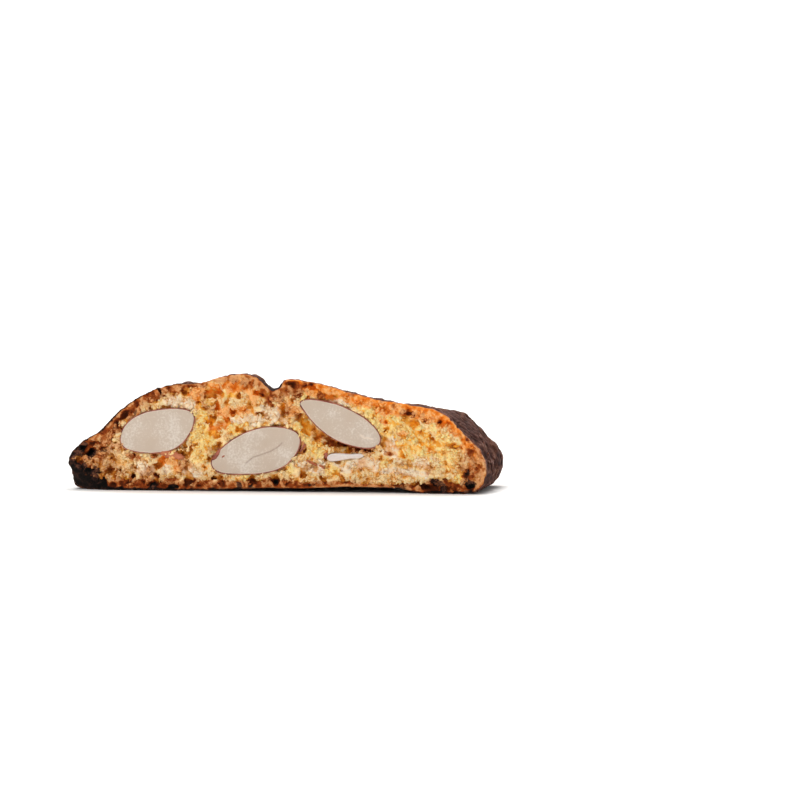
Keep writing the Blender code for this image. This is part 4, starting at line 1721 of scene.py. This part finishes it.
@dataclass
class Studio:
    """A pale sweep, soft lamps and the camera."""

    aim: tuple[float, float, float] = (25.0, -9.0, 19.35)
    azimuth: float = 6.0
    elevation: float = 3.5
    distance: float = 389.0
    lens: float = 85.0
    floor_width: float = 3000.0
    floor_depth: float = 2400.0
    wall_height: float = 900.0
    bend: float = 300.0              # the radius between the floor and the wall

    def build(self, card: bpy.types.Material) -> None:
        """Set up the sweep, the light and the camera.

        Args:
            card: The sweep's finish.
        """
        bm = bmesh.new()
        bmesh.ops.create_grid(bm, x_segments=1, y_segments=1, size=0.5)
        bmesh.ops.scale(bm, vec=(self.floor_width, self.floor_depth, 1), verts=bm.verts)
        bmesh.ops.translate(bm, vec=(0, -0.25 * self.floor_depth, 0), verts=bm.verts)
        back = [e for e in bm.edges if all(v.co.y > 0 for v in e.verts)]
        wall = bmesh.ops.extrude_edge_only(bm, edges=back)["geom"]
        bmesh.ops.translate(bm, vec=(0, 0, self.wall_height),
                            verts=[g for g in wall if isinstance(g, bmesh.types.BMVert)])
        bmesh.ops.bevel(bm, geom=back, offset=self.bend, segments=16, profile=0.5, affect="EDGES",
                        material=-1)
        sweep = link("sweep", mesh_of("sweep", bm))
        sweep.data.materials.append(card)
        sweep.data.shade_smooth()
        self._lamp("key", (-170.0, -330.0, 420.0), (0, 0, 10), 240.0, 1.62)
        self._lamp("fill", (330.0, -260.0, 200.0), (0, 0, 10), 300.0, 0.16)
        self._lamp("top", (40.0, 120.0, 420.0), (0, 0, 10), 300.0, 0.5)
        self._lamp("wall_wash", (0.0, 200.0, 700.0), (0, 600.0, 150.0), 500.0, 5.0)
        world = bpy.data.worlds.new("studio")
        world.use_nodes = True
        glow = world.node_tree.nodes["Background"].inputs
        glow["Color"].default_value, glow["Strength"].default_value = (1.0, 1.0, 1.0, 1.0), 0.2
        bpy.context.scene.world = world
        bpy.context.scene.view_settings.view_transform = "Standard"
        self._camera()

    def _lamp(self, name: str, place: tuple, target: tuple, size: float, power: float) -> None:
        """A square soft lamp.

        Args:
            name: Its name.
            place: Where it hangs.
            target: Where it points.
            size: Its side.
            power: Its power in watts.
        """
        data = bpy.data.lights.new(name, "AREA")
        data.size = size * MM
        data.energy = power
        lamp = bpy.data.objects.new(name, data)
        bpy.context.scene.collection.objects.link(lamp)
        lamp.location = Vector(place) * MM
        lamp.rotation_euler = (Vector(target) - Vector(place)).to_track_quat("-Z", "Y").to_euler()

    def _camera(self) -> None:
        """The camera, a little above the table and looking nearly straight at the front cut."""
        turn, rise = math.radians(self.azimuth), math.radians(self.elevation)
        back = Vector((math.sin(turn) * math.cos(rise), -math.cos(turn) * math.cos(rise),
                       math.sin(rise)))
        data = bpy.data.cameras.new("camera")
        data.lens = self.lens
        data.clip_start, data.clip_end = 0.01, 20.0
        camera = bpy.data.objects.new("camera", data)
        bpy.context.scene.collection.objects.link(camera)
        camera.location = (Vector(self.aim) + back * self.distance) * MM
        camera.rotation_euler = (-back).to_track_quat("-Z", "Y").to_euler()
        bpy.context.scene.camera = camera


ALMONDS = [
    Almond("almond_left", Side.FRONT, (-25.98, 12.89), 20.7, 16.43,
           Flank(3.93, -0.18, -0.02, 0.04), Flank(4.32, 0.05, -0.14, -0.07), 5.3),
    Almond("almond_middle", Side.FRONT, (-5.23, 8.53), 17.8, 19.37,
           Flank(3.8, 0.10, -0.12, -0.01), Flank(4.69, 0.13, -0.02, -0.08), 5.6,
           cleft=((-7.2, 6.0), (-5.8, 7.2), (-4.0, 7.8), (-2.0, 8.5), (-0.5, 9.4), (0.4, 10.3))),
    Almond("almond_right", Side.FRONT, (12.45, 14.5), -26.0, 18.3,
           Flank(3.21, 0.15, -0.04, 0.0), Flank(2.87, 0.37, -0.18, 0.07), 6.0,
           nick=((16.9, 12.0), (17.6, 11.4), (18.3, 11.5), (19.2, 11.2))),
    Almond("almond_sliver", Side.FRONT, (13.7, 7.5), 4.0, 7.5,
           Flank(0.76, -0.5, 0.45, 0.0), Flank(0.76, -0.5, 0.45, 0.0), 2.6, peeled=True, ragged=0.2),
    Almond("almond_back_left", Side.BACK, (-23.0, 9.0), -14.0, 18.8,
           Flank(3.9, -0.15, 0.0, -0.05), Flank(4.2, -0.10, -0.1, 0.0), 5.6),
    Almond("almond_back_middle", Side.BACK, (6.0, 13.6), 24.0, 17.8,
           Flank(4.2, 0.12, -0.1, 0.04), Flank(4.2, 0.15, -0.05, 0.0), 5.2),
    Almond("almond_back_right", Side.BACK, (28.5, 8.6), -38.0, 16.3,
           Flank(3.7, 0.2, -0.05, 0.0), Flank(3.7, 0.12, -0.1, 0.05), 4.7),
]


DRY_SCRAPS = SkinScraps("skin_scraps_dry", (
    Flake(-13.4, 7.6, 2.8, 0.9, 54.0, 0.25), Flake(-12.0, 7.35, 0.9, 0.4, 35.0, 0.15),
    Flake(9.6, 7.7, 1.0, 0.9, 70.0, 0.1), Flake(4.7, 9.3, 1.8, 0.5, 60.0, 0.0)))
SOAKED_SCRAPS = SkinScraps("skin_scraps_soaked", (
    Flake(-22.9, 7.55, 5.2, 1.5, -15.0, 0.1), Flake(6.7, 6.1, 2.2, 0.4, -28.0, 0.0),
    Flake(8.6, 5.4, 1.6, 0.35, -32.0, 0.0)))


def main() -> None:
    """Build the slice piece by piece and hand it to the frame."""
    logging.basicConfig(level=logging.INFO, format="%(message)s")
    lattice = Lattice(5)
    flesh, dry_flesh, skin = AlmondFlesh().material(), PEELED.material(), AlmondSkin().material()
    for almond in ALMONDS:
        almond.build(dry_flesh if almond.peeled else flesh, skin, lattice)
    DRY_SCRAPS.build(skin, lattice)
    SOAKED_SCRAPS.build(SOAKED_SKIN.material(), lattice)
    Slice().build(ALMONDS, BakedDough().material(), lattice)
    Studio().build(StudioCard().material())


if __name__ == "__main__":
    main()
